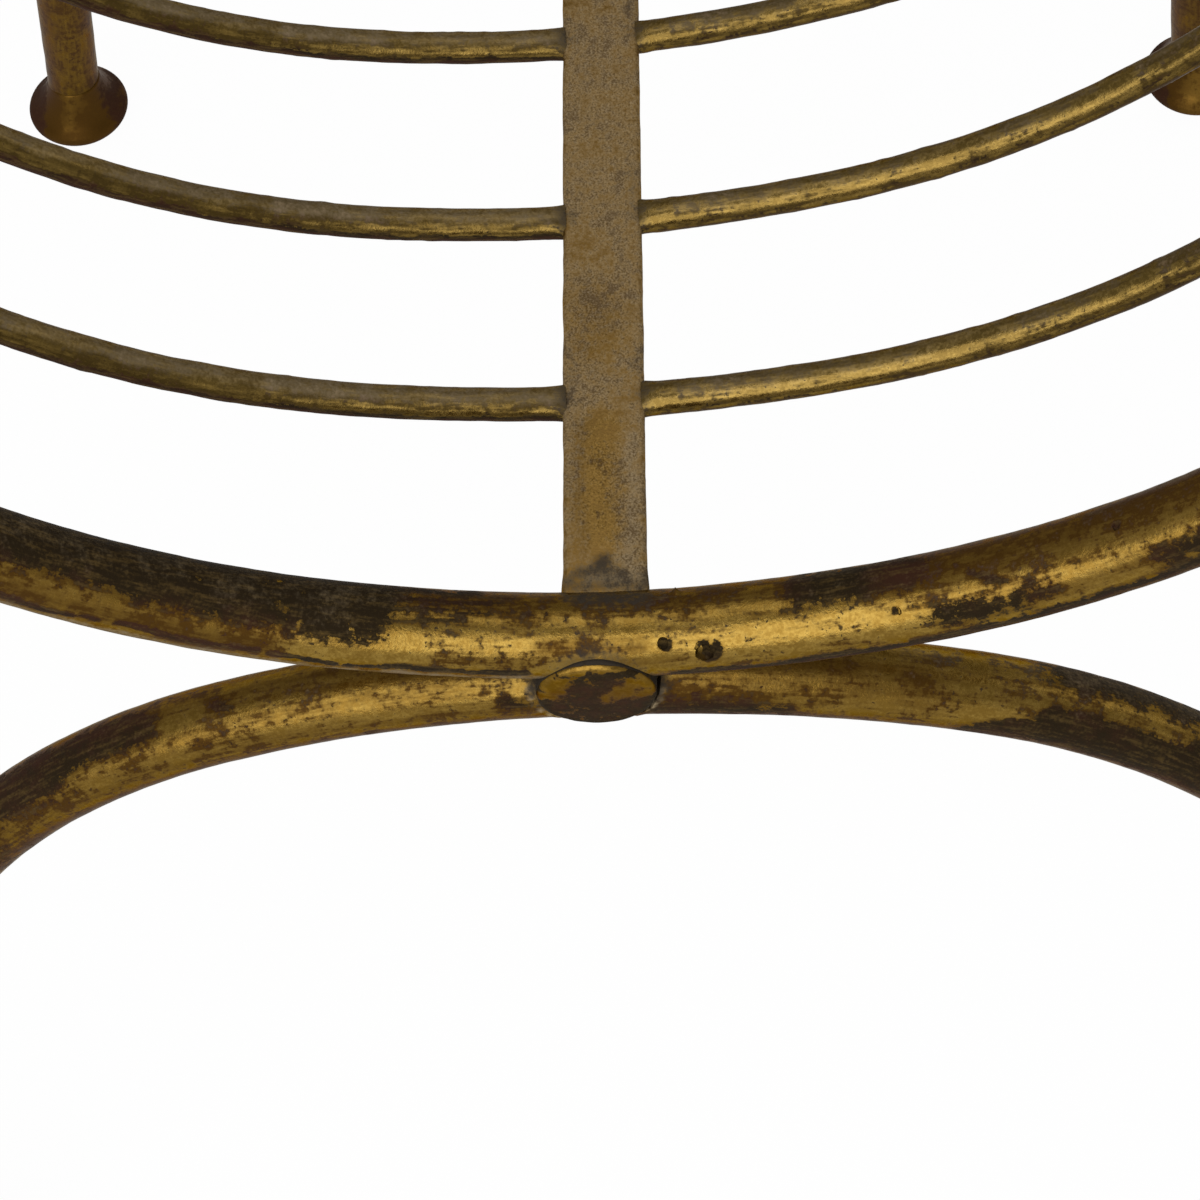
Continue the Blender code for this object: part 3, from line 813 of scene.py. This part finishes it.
# %% Flat bars
FLAT_WIDTH = 0.0186
FLAT_THICKNESS = 0.005
FLAT_CORNER = 0.0011
FLAT_SPREAD = 0.045
FLAT_WANDER = 0.00016
FLAT_PIMPLE = 0.00009
FLAT_STEP = 0.002
FLAT_CUTS = 13
FLAT_WELD_REACH = 0.0018
SEAT_FALL = radians(1.15)


def flat_strip(length, place):
    """A flat bar along Y with soft corners, flared at both ends."""
    body = bmesh.new()
    bmesh.ops.create_cube(body, size=1, matrix=Matrix.Diagonal((FLAT_WIDTH, length, FLAT_THICKNESS, 1)))
    long_edges = [e for e in body.edges if abs(e.verts[0].co.y - e.verts[1].co.y) > length / 2]
    bmesh.ops.bevel(body, geom=long_edges, offset=FLAT_CORNER, segments=4, profile=0.5, affect="EDGES",
                    material=-1)
    long_edges = [e for e in body.edges if abs(e.verts[0].co.y - e.verts[1].co.y) > length / 2]
    bmesh.ops.subdivide_edges(body, edges=long_edges, cuts=int(length / FLAT_STEP), use_grid_fill=True)
    wide_edges = [e for e in body.edges if abs(e.verts[0].co.x - e.verts[1].co.x) > FLAT_WIDTH / 2]
    bmesh.ops.subdivide_edges(body, edges=wide_edges, cuts=FLAT_CUTS, use_grid_fill=True)
    grain, spot = point_layers(body)
    for vert in body.verts:
        vert[grain] = (vert.co.y, vert.co.x, vert.co.z)
        vert[spot] = (1000 * vert.co.x, 1000 * (vert.co.y + length / 2 - RADIUS), 0)
        end = length / 2 - abs(vert.co.y)
        vert.co.x *= 1 + FLAT_SPREAD * exp(-max(end - RADIUS, 0) / FLAT_WELD_REACH)
        dent = FLAT_WANDER * noise.noise(vert.co * 110) + FLAT_PIMPLE * noise.noise(vert.co * 330)
        vert.co += vert.normal * dent
    bmesh.ops.recalc_face_normals(body, faces=body.faces)
    bmesh.ops.transform(body, matrix=place, verts=body.verts)
    return body


BAR_SLIP = 0.0007
BAR_TURN = radians(-0.38)
bar_low, bar_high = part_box("centre_bar")
bar_middle = Vector((0, (FRONT_Y + REAR_Y) / 2, (bar_low.z + bar_high.z) / 2))
bar_place = Matrix.Translation(bar_middle) @ Matrix.Rotation(-SEAT_FALL, 4, "X")
bar_place = bar_place @ Matrix.Translation((BAR_SLIP, 0, 0)) @ Matrix.Rotation(BAR_TURN, 4, "Z")
centre_bar = make_piece("centre_bar_strip", flat_strip((REAR_Y - FRONT_Y) / cos(SEAT_FALL), bar_place),
                        "centre_bar", flat_gilding)

CREST_DROP = 0.045
BACK_BOW = 0.03
CREST_LEVEL = BACK_LENGTH - CREST_DROP
SPINE_LEAN = atan2(BACK_BOW, CREST_LEVEL)
spine_length = CREST_LEVEL / cos(SPINE_LEAN)
spine_place = (BACK_PLACE @ Matrix.Rotation(-SPINE_LEAN, 4, "X")
               @ Matrix.Translation((0, 0, spine_length / 2)) @ Matrix.Rotation(pi / 2, 4, "X"))
back_spine = make_piece("back_spine_strip", flat_strip(spine_length, spine_place), "back_spine",
                        flat_gilding)
print("Flat bars:", len(centre_bar.data.vertices), "and", len(back_spine.data.vertices), "points")

# %% [markdown]
# Two side rails tie the frames together and carry the rods, and a crest rail bows back between the posts.
# Each end runs a little into its neighbour and swells there, as a dressed weld does.

# %% Side rails and crest rail
SIDE_RAIL_ANGLE = radians(64)
SIDE_RAIL = 0.016
CREST = 0.016
POST_OFFSET = back_run[-1].place.x
WELD_REACH = 0.003
WELD_SWELL = (0.22, 0.22)
WELD_INSET = RADIUS * 0.9
meeting = bend_station(SIDE_RAIL_ANGLE, DISH, 1).place
rail_lines = {}
for side, sign in (("left", -1), ("right", 1)):
    corner = Vector((sign * meeting.x, 0, meeting.z))
    start, end = FRONT_PLACE @ corner, BACK_PLACE @ corner
    rail_lines[side] = (start, end)
    inset = (end - start).normalized() * WELD_INSET
    run = straight(start + inset, end - inset, Vector((0, 0, 1)), 120)
    run = flared(run, WELD_REACH, WELD_SWELL, WELD_SWELL)
    make_piece("side_rail_%s_bar" % side, roll_bar(capped(run), SIDE_RAIL / 2, 40), "side_rail_" + side,
               bar_gilding)


def bowed_run(bow, start, end, count):
    """Stations on an arc that bows back between the posts, from one distance off the middle to another."""
    radius = (POST_OFFSET ** 2 + bow ** 2) / (2 * bow)
    run = []
    for turn in close_at_ends(asin(start / radius), asin(end / radius), count):
        run.append(Station(Vector((radius * sin(turn), bow - radius * (1 - cos(turn)), 0)),
                           Vector((cos(turn), -sin(turn), 0)), Vector((0, 0, 1)), 1, 1))
    return run


crest_end = POST_OFFSET - WELD_INSET
crest_run = flared(bowed_run(BACK_BOW, -crest_end, crest_end, 160), WELD_REACH, WELD_SWELL, WELD_SWELL)
crest_run = placed(crest_run, BACK_PLACE @ Matrix.Translation((0, 0, CREST_LEVEL)))
crest = make_piece("crest_rail_bar", roll_bar(capped(crest_run), CREST / 2, 40), "crest_rail",
                   bar_gilding)
print("Crest rail:", len(crest.data.vertices), "points")

# %% [markdown]
# The seat rods hang in the same dish as the frames. Each half is welded to the edge of the flat bar, where
# it is hammered a little flatter and wider, and to a side rail. They were set by eye, so each pair crosses
# the bar at its own slight angle. The CAD boxes give the place and the angle of each pair.

# %% Seat rods
ROD = 0.0078
ROD_SIDES = 26
BAR_WELD = (0.24, -0.3)
RAIL_WELD = (0.3, 0.3)
BITE = 0.0006
ROD_WELD_REACH = 0.0022
ROD_UNEVEN = 1.3
ROD_LUMPY = 0.7
RAIL_BITE = SIDE_RAIL * 0.4
SEARCH_FROM = radians(40)
SEARCH_STEP = radians(0.1)
rods = []
soot_and_shade_points = []


def box_middle(node):
    """The middle of a CAD node's box."""
    low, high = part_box(node)
    return (low + high) / 2


def rod_place(number):
    """Where a pair of rods crosses the middle, and how it is turned."""
    left, right = (box_middle("seat_rod_%d_%s" % (number, side)) for side in ("left", "right"))
    skew = atan2(right.y - left.y, right.x - left.x)
    inner = asin(FLAT_WIDTH / 2 / DISH[0])
    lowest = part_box("seat_rod_%d_right" % number)[0].z
    height = lowest + ROD / 2 * cos(inner) - DISH[0] * (1 - cos(inner))
    return Matrix.Translation((0, (left.y + right.y) / 2, height)) @ Matrix.Rotation(skew, 4, "Z")


def off_rail(angle, sign, place, line):
    """How far a point of the rod's bend is from a side rail's axis."""
    point = place @ bend_station(sign * angle, DISH, 1).place
    along = (line[1] - line[0]).normalized()
    off = point - line[0]
    return (off - along * off.dot(along)).length


def bar_slip(y):
    """How far the flat bar's middle lies to the right of the chair's middle."""
    return BAR_SLIP - (y - bar_middle.y) * tan(BAR_TURN)


for number in range(1, 7):
    place = rod_place(number)
    for side, sign in (("left", -1), ("right", 1)):
        outer = SEARCH_FROM
        while off_rail(outer, sign, place, rail_lines[side]) > RAIL_BITE:
            outer += SEARCH_STEP
        inner = asin((sign * (FLAT_WIDTH / 2 - BITE) + bar_slip(place.translation.y)) / DISH[0])
        run = [bend_station(angle, DISH, 1) for angle in close_at_ends(inner, sign * outer, 210)]
        if sign < 0:
            run.reverse()
        ends = (BAR_WELD, RAIL_WELD) if sign > 0 else (RAIL_WELD, BAR_WELD)
        run = placed(flared(run, ROD_WELD_REACH, *ends), place)
        name = "seat_rod_%d_%s" % (number, side)
        body = roll_bar(capped(run), ROD / 2, ROD_SIDES, ROD_UNEVEN, ROD_LUMPY)
        rods.append(make_piece(name + "_bar", body, name, rod_gilding))
        soot_and_shade_points.extend((run[0].place, run[-1].place))
print("Seat rods:", len(rods), "with", len(rods[0].data.vertices), "points each")

# %% [markdown]
# The back rods bow backwards less and less towards the seat, so the back is a smooth hollow.

# %% Back rods
BACK_RODS = 4
LOWEST_RISE = 0.014
lowest_level = bend_station(pi / 2, DISH, 1).place.z + LOWEST_RISE
for number in range(1, BACK_RODS + 1):
    level = lowest_level + (CREST_LEVEL - lowest_level) * (number - 1) / BACK_RODS
    place = BACK_PLACE @ Matrix.Translation((0, 0, level))
    half = bowed_run(BACK_BOW * level / CREST_LEVEL, FLAT_WIDTH / 2 - BITE, crest_end, 80)
    half = flared(half, ROD_WELD_REACH, BAR_WELD, RAIL_WELD)
    for side, run in (("left", mirrored(half)), ("right", half)):
        run = placed(run, place)
        name = "back_rod_%d_%s" % (number, side)
        body = roll_bar(capped(run), ROD / 2, ROD_SIDES)
        rods.append(make_piece(name + "_bar", body, name, rod_gilding))
        soot_and_shade_points.extend((run[0].place, run[-1].place))
print("Rods in all:", len(rods), "welds:", len(soot_and_shade_points))

# %% [markdown]
# Now the wear. Painting it by hand would show the same places: gold rubbed off the top of the left rail, a
# brown line under the front edge, dark patches on the arch. Some patches paint light and shade instead:
# painted shade under the bars and rods, at the far left of the rail, the arch and the rods, on the flanks of
# the feet, in the joints and on the rivet heads' sides, clean gold as a painted highlight on the front of
# each foot, and a pale painted reflection under the front rail. A patch here is a rounded box on the skin of
# a bar, by its spot. Its edge is as soft as the sixth number says, in millimetres, and the noise in the
# finish makes it ragged. A seventh number slants it, and a negative strength brings gold back.

# %% Patches
Patch = namedtuple("Patch", "x turn half_x half_turn strength soft lean", defaults=(0,))


def patches(*rows):
    """Patches, one from each row of numbers."""
    return tuple(Patch(*row) for row in rows)


RAIL_BARE = patches(
    (-138, 110, 92, 57, 1, 7, -0.14), (-40, 130, 13, 10, 0.95, 3), (-36, 108, 13, 5, 0.95, 2),
    (-38, 91, 11, 4, 0.9, 2), (-28, 118, 9, 2.5, 0.85, 1.5), (-42, 75, 8, 3, 0.85, 1.5),
    (-33, 99, 8, 2, 0.8, 1.5), (-25, 86, 6, 1.5, 0.7, 1.5), (-40, 92, 12, 34, 0.46, 9),
    (-121, 0, 7, 6, 1, 1.5, -0.3), (-111, 6, 3, 4, 0.95, 1.5), (-96, 8, 10, 6, 1, 1.5),
    (-82, 7, 6, 5.5, 1, 1.5), (-67, 4, 8, 5, 1, 1.5), (-52, 3, 6, 6, 1, 1.5), (-44, 2, 6, 7, 1, 1.5),
    (-35, 3, 5, 6, 1, 1.5), (-24, 2, 7, 8, 1, 1.5), (0, 112, 46, 38, 0.4, 12), (-19, 94, 6, 4, 0.75, 3),
    (-20, 78, 2, 3, 0.6, 2), (2, 93, 6, 3, 0.62, 3), (10, 108, 9, 12, 0.55, 6), (17, 93, 5, 10, 0.5, 5),
    (36, 74, 2.5, 6, 0.62, 4), (42, 77, 3, 9, 0.66, 4), (-24, 27, 8, 12, 0.4, 6), (-4, 43, 9, 10, 0.42, 5),
    (57, 108, 16, 34, 1, 9), (48, 88, 7, 8, 0.85, 6), (67, 95, 13, 10, 0.72, 8), (60, 79, 9, 6, 0.5, 6),
    (105, 118, 40, 22, 0.42, 12), (85, 73, 4, 7, 0.85, 4, -3.4), (72, 47, 4, 11, 0.52, 5),
    (83, 29, 11, 16, 0.95, 8), (96, 32, 3.5, 14, 0.72, 5), (107, 60, 6, 7, 0.5, 5), (99, 60, 5, 6, 0.46, 5),
    (125, 25, 8, 18, 0.85, 7), (100, 96, 34, 26, 0.3, 12), (45, -11, 32, 12, 0.9, 2.5),
    (103, -6, 28, 10, 0.95, 3, 0.1), (12, 46, 1.3, 8, 1, 1), (21.6, 26, 2, 12, 1, 1.5),
    (20.5, 41, 1.3, 8, 1, 1.2), (23.3, 35, 1.2, 8, 1, 1.2), (113, 84, 1, 6, 1, 1),
    (65.2, 50, 0.7, 5, 1, 0.8), (-74, 73, 2.5, 6, -0.5, 2.5, -1.5), (-68.5, 58, 1.1, 9, -0.6, 2, 3),
    (-57, 66, 1, 11, -0.6, 2, 3), (-66, 122, 14, 10, -0.3, 6),
)
# The first two rows brown the lower front of the rail's left end, which faces away from the lamp, and the
# last row browns the rail's underside: painted shade.
RAIL_STAIN_AND_SHADE = patches(
    (-113, 20, 42, 26, 0.9, 11), (-106, 48, 36, 14, 0.7, 11), (45, 8, 34, 9, 0.55, 6),
    (108, 30, 18, 26, 0.5, 8), (102, 104, 42, 34, 0.95, 14), (0, 112, 46, 34, 0.6, 12),
    (-4, 43, 12, 11, 0.85, 6), (-26, 22, 14, 14, 0.5, 7), (8, 22, 8, 16, 0.6, 6),
    (108, 60, 30, 30, 0.42, 14), (0, -30, 140, 22, 0.7, 4),
)
# The first two rows lay a pale tan line along the underside edge of the front rail: a painted reflection of
# light from below.
RAIL_DUST_AND_REFLECTION = patches(
    (-75, -20, 72, 13, 0.6, 2), (45, -27, 34, 9, 0.25, 2), (-120, 112, 75, 42, 0.24, 10),
    (50, 134, 80, 16, 0.3, 4),
)
# The row at x -138, turn 32 darkens the lower far left of the arch: painted shade.
ARCH_BARE_AND_SHADE = patches(
    (-122, 80, 19, 26, 1, 5), (-142, 74, 18, 34, 1, 6), (-103, 86, 2.5, 11, 0.85, 4),
    (-138, 32, 16, 9, 0.66, 6), (-86, 83, 3.5, 12, 0.8, 4, -1.5), (-94, 108, 5, 7, 0.5, 5),
    (-92, 33, 9, 8, 0.5, 5, -1.2), (-86, 22, 7, 4, 0.5, 4), (-56, -20, 1, 9, 0.9, 0.8),
    (-20, 16, 6, 14, 0.85, 5), (24, -4, 17, 27, 0.85, 8), (24.5, 35, 4, 6, 0.6, 4),
    (43, 35, 4.5, 8, 0.58, 4), (76, 42, 5, 8, 0.55, 4, -0.8), (47, 15, 3, 10, 0.5, 4),
    (60, 50, 25, 20, 0.25, 8), (113, 14, 20, 37, 1, 4), (88, -4, 10, 22, 1, 4, 1.9),
    (152, 25, 26, 42, 1, 6), (126, 108, 32, 30, 0.9, 10), (84, 100, 14, 10, 0.45, 6),
    (92, 83, 9, 3, 0.55, 3),
)
# The row at x -136 browns the far left of the arch, and the last row browns its underside: painted shade.
ARCH_STAIN_AND_SHADE = patches(
    (-90, 95, 55, 30, 0.7, 10), (-75, 6, 70, 14, 0.75, 7), (-72, 48, 44, 40, 0.5, 14),
    (-118, 26, 34, 40, 0.5, 10), (-136, 20, 16, 40, 0.6, 14), (40, 50, 36, 55, 0.62, 12),
    (90, 60, 30, 55, 0.36, 12), (24, 20, 15, 24, 0.65, 7), (60, -4, 28, 16, 0.5, 6),
    (0, -30, 150, 22, 0.75, 4),
)
ARCH_DUST = patches((118, 112, 30, 30, 0.32, 8), (80, 108, 20, 18, 0.3, 6))
ARCH_DUST += patches(*((1000 * x, degrees(asin(z / RADIUS + 1)), 0.8, 5, 1, 1.2) for x, z in lips))
# The first and last rows of the bare table darken the lower side of the rods. In the stain table the second
# row browns the far left rods, where less light reaches, and the fourth browns their undersides: painted
# shade.
ROD_BARE_AND_SHADE = patches((-110, -19, 105, 32, 1, 1.5), (110, 8, 105, 9, 0.6, 1.5), (110, -70, 105, 40, 0.6, 2))
ROD_STAIN_AND_SHADE = patches(
    (-110, 90, 105, 80, 0.6, 2), (-155, 40, 80, 70, 0.8, 12), (110, 115, 105, 42, 0.6, 2),
    (0, -50, 220, 50, 0.8, 2), (-42, 24, 36, 9, -0.4, 2),
)
ROD_DUST = patches((-110, 105, 105, 50, 0.5, 2), (110, 120, 105, 32, 0.36, 2))
RIVET_BARE = patches(
    (-9.4, 4.5, 3.4, 5.0, -0.8, 4, 0.5), (6.6, 3.4, 5.4, 4.6, -0.8, 4, 0.35), (-1, 12.4, 8, 1.5, -0.9, 1.5),
    (2.6, 5.5, 1.1, 1.6, 0.8, 1.5, 0.6),
)
RIVET_STAIN = patches((0, -1, 11, 10.5, 0.5, 3), (-1, 12.4, 8, 1.5, -0.4, 1.5))
# The side wall of each rivet head is painted dark grey: painted shade of the side and the gap behind it.
RIVET_SIDE_SHADE = patches((0, RIM_SHIFT, 20, 40, 0.75, 2))
FLAT_STAIN = patches((-6, 24, 2.6, 20, 0.5, 6), (-2, 70, 7, 13, 0.35, 9))
FLAT_DUST = patches(
    (0, 250, 20, 260, 0.66, 4), (6.5, 20, 3, 22, 0.85, 5), (3, 0.8, 8, 1.4, 0.95, 2.5),
    (-8.2, 40, 1.2, 40, 0.75, 2.5), (-1, 26, 4.5, 18, -0.5, 7), (-2, 70, 6, 11, -0.2, 9),
)
SPINE_DUST = patches((0, 250, 20, 300, 0.4, 4))
# Darker grey at the flat bar's front weld and where the rods meet its edges: soot, and painted shade in the
# joints.
FLAT_SOOT_AND_SHADE = patches(
    (-4.5, 2.6, 3.5, 1.6, 0.8, 4), (-0.5, 4.2, 3, 2.6, 0.95, 4), (3.5, 3, 2.5, 1.5, 0.7, 3.5),
    (0, -0.5, 10, 2.6, 0.6, 3), (7.5, 110, 2.2, 5, 0.5, 5), (-7.6, 58, 1.5, 5, 0.45, 4),
    (7.6, 58, 1.5, 5, 0.5, 4), (7.8, 165, 1.6, 5, 0.45, 4), (-7.8, 110, 1.2, 5, 0.4, 4),
    (-7.8, 165, 1.2, 5, 0.4, 4),
)
# Darker grey on top of the rail at the flat bar's weld: soot and painted shade in the joint.
RAIL_SOOT_AND_SHADE = patches((0, 122, 11, 22, 0.7, 5))
LEG_STAIN = patches((0, -14, 400, 12, 0.85, 7))
# The left and right flanks of each foot are darkened and a patch at the front is kept clean gold: painted
# shade and a painted highlight.
FOOT_FLANK_SHADE = patches((-15, 0, 5, 16, 0.85, 11), (14, 2, 5, 14, 0.75, 11))
FOOT_FRONT_HIGHLIGHT = patches((-1, -11, 4, 6, -0.55, 9))
print("Patches:", len(RAIL_BARE), "on the rail and", len(ARCH_BARE_AND_SHADE), "on the arch")

# %% [markdown]
# The patches become values on the points. NumPy works out all points of a piece at once. Bars that the
# patches don't name still get worn and browned in broad random stretches, from a slow noise, and so do the
# outer ends of the front bars. Blender shifts its vector noise by the clock, unless it is given a seed.

# %% Painting
PAINT_SEED = 4
noise.seed_set(PAINT_SEED)
UNSTEADY = 2.2
SOOT_AND_SHADE_REACH = 0.006
PLAIN_BASE = (0.24, 0.45)
PLAIN_RESTLESS = 0.55
PATCHED_TO = 125
PATCH_FADE = 30
SLOW = 21
QUICK = 120
WELD_STEP = 0.0045
RIVET_RING = 0.013
RIVET_RING_OUT = 0.0075
RIVET_RING_PAST = 0.3

# The rod ends, a row at the flat bar's front weld and a ring round each rivet head are the points near which
# soot_and_shade rises: soot at the welds, and painted shade in the joints.
bar_front = bar_place @ Vector((0, -(REAR_Y - FRONT_Y) / 2 + RADIUS, 0))
soot_and_shade_points.extend(bar_front + Vector((WELD_STEP * step, 0, 0)) for step in (-2, -1, 0, 1, 2))
# Each ring sits just off the bars round a rivet head, so the bars darken at the edge of its seat: painted
# shade of the gap.
for rivet, out in ((front_rivet, -1), (rear_rivet, 1)):
    centre = box_middle(rivet.name.replace("_turned", ""))
    centre.y = (FRONT_Y if out < 0 else REAR_Y) + out * RIVET_RING_OUT
    soot_and_shade_points.extend(centre + RIVET_RING * Vector((cos(turn), 0, sin(turn)))
                 for turn in spread(-RIVET_RING_PAST, pi + RIVET_RING_PAST, 24))
soot_and_shade_tree = kdtree.KDTree(len(soot_and_shade_points))
for index, place in enumerate(soot_and_shade_points):
    soot_and_shade_tree.insert(place, index)
soot_and_shade_tree.balance()


def lay_patches(layer, base, x, turn, unit):
    """The painted value at every point, from a base and the patches over it."""
    value = np.array(base, dtype=float) * np.ones(len(x))
    for patch in layer:
        across = np.abs(x - patch.x) - patch.half_x
        around = (np.abs(turn - patch.turn - patch.lean * (x - patch.x)) - patch.half_turn) * unit
        corner = 0.8 * min(patch.half_x, patch.half_turn * unit)
        outside = np.hypot(np.maximum(across + corner, 0), np.maximum(around + corner, 0))
        gap = outside + np.minimum(np.maximum(across, around) + corner, 0) - corner
        share = np.clip(0.5 - gap / patch.soft, 0, 1)
        painted = patch.strength * share
        value = np.maximum(value, painted) if patch.strength > 0 else value + painted
    return np.clip(value, 0, 1)


def paint(piece, unit, bare=(), stain_and_painted_light=(), dust=(), soot_and_shade=(), base=PLAIN_BASE, film=0.3,
          restless=PLAIN_RESTLESS, weld=1.0):
    """Paint the four layers of a finish on a piece's points."""
    mesh = piece.data
    count = len(mesh.vertices)
    places = read_points(mesh.vertices, "co", count)
    up = read_points(mesh.vertices, "normal", count)[:, 2]
    spots = read_points(mesh.attributes["spot"].data, "vector", count)
    slow = np.array([noise.noise_vector(Vector(place) * SLOW) for place in places])
    quick = np.array([noise.noise_vector(Vector(place) * QUICK) for place in places])
    x = spots[:, 0] + UNSTEADY * quick[:, 0]
    turn = spots[:, 1] + UNSTEADY * quick[:, 1] / unit * 0.5
    near_soot_and_shade = np.array([soot_and_shade_tree.find(place)[2] for place in places])
    fade = np.clip((np.abs(spots[:, 0]) - PATCHED_TO) / PATCH_FADE, 0, 1)
    outer = fade if piece in (front_frame, front_arch) else 0
    restless = restless + (PLAIN_RESTLESS - restless) * outer
    worn, browned = (value + (plain - value) * outer for value, plain in zip(base, PLAIN_BASE))
    layers = {
        "bare": lay_patches(bare, worn + restless * slow[:, 0], x, turn, unit),
        "stain_and_painted_light": lay_patches(stain_and_painted_light, browned + 0.8 * restless * slow[:, 1], x, turn, unit),
        "dust": lay_patches(dust, film * np.clip((up - 0.5) / 0.4, 0, 1), x, turn, unit),
        "soot_and_shade": lay_patches(soot_and_shade, weld * np.clip(1 - near_soot_and_shade / SOOT_AND_SHADE_REACH, 0, 1), x, turn, unit),
    }
    for name, values in layers.items():
        mesh.attributes.new(name, "FLOAT", "POINT").data.foreach_set("value", values)
    mesh.attributes.remove(mesh.attributes["spot"])


def girth(radius):
    """Millimetres around a bar for each degree."""
    return 1000 * radius * pi / 180


paint(front_frame, girth(RADIUS), RAIL_BARE, RAIL_STAIN_AND_SHADE, RAIL_DUST_AND_REFLECTION, RAIL_SOOT_AND_SHADE, base=(0.12, 0.1), film=0.12,
      restless=0)
paint(front_arch, girth(RADIUS), ARCH_BARE_AND_SHADE, ARCH_STAIN_AND_SHADE, ARCH_DUST, base=(0.14, 0.28), film=0.12, restless=0)
for rod in rods:
    paint(rod, girth(ROD / 2), ROD_BARE_AND_SHADE, ROD_STAIN_AND_SHADE, ROD_DUST, base=(0.18, 0.25), film=0.36, restless=0.25,
          weld=1.25)
for rivet in (front_rivet, rear_rivet):
    paint(rivet, 1, RIVET_BARE, RIVET_STAIN, soot_and_shade=RIVET_SIDE_SHADE, base=(0.9, 0.1), film=0, restless=0, weld=0)
paint(centre_bar, 1, (), FLAT_STAIN, FLAT_DUST, FLAT_SOOT_AND_SHADE, base=(0.03, 0.15), film=0.5, restless=0.12,
      weld=0.8)
paint(back_spine, 1, (), (), SPINE_DUST, base=(0.2, 0.45), film=0.5, restless=0.3, weld=0.8)
for foot in feet:
    paint(foot, 1, FOOT_FLANK_SHADE, FOOT_FRONT_HIGHLIGHT, base=(0.26, 0.95), film=0, restless=0.4)
paint(rear_arch, girth(RADIUS), (), LEG_STAIN, base=(0.0, 0.64), film=0.1, restless=0.25)
done = {front_frame, front_arch, rear_arch, front_rivet, rear_rivet, centre_bar, back_spine, *rods, *feet}
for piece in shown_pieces():
    if piece.type == "MESH" and piece not in done and "spot" in piece.data.attributes:
        paint(piece, girth(RADIUS), film=0.35)
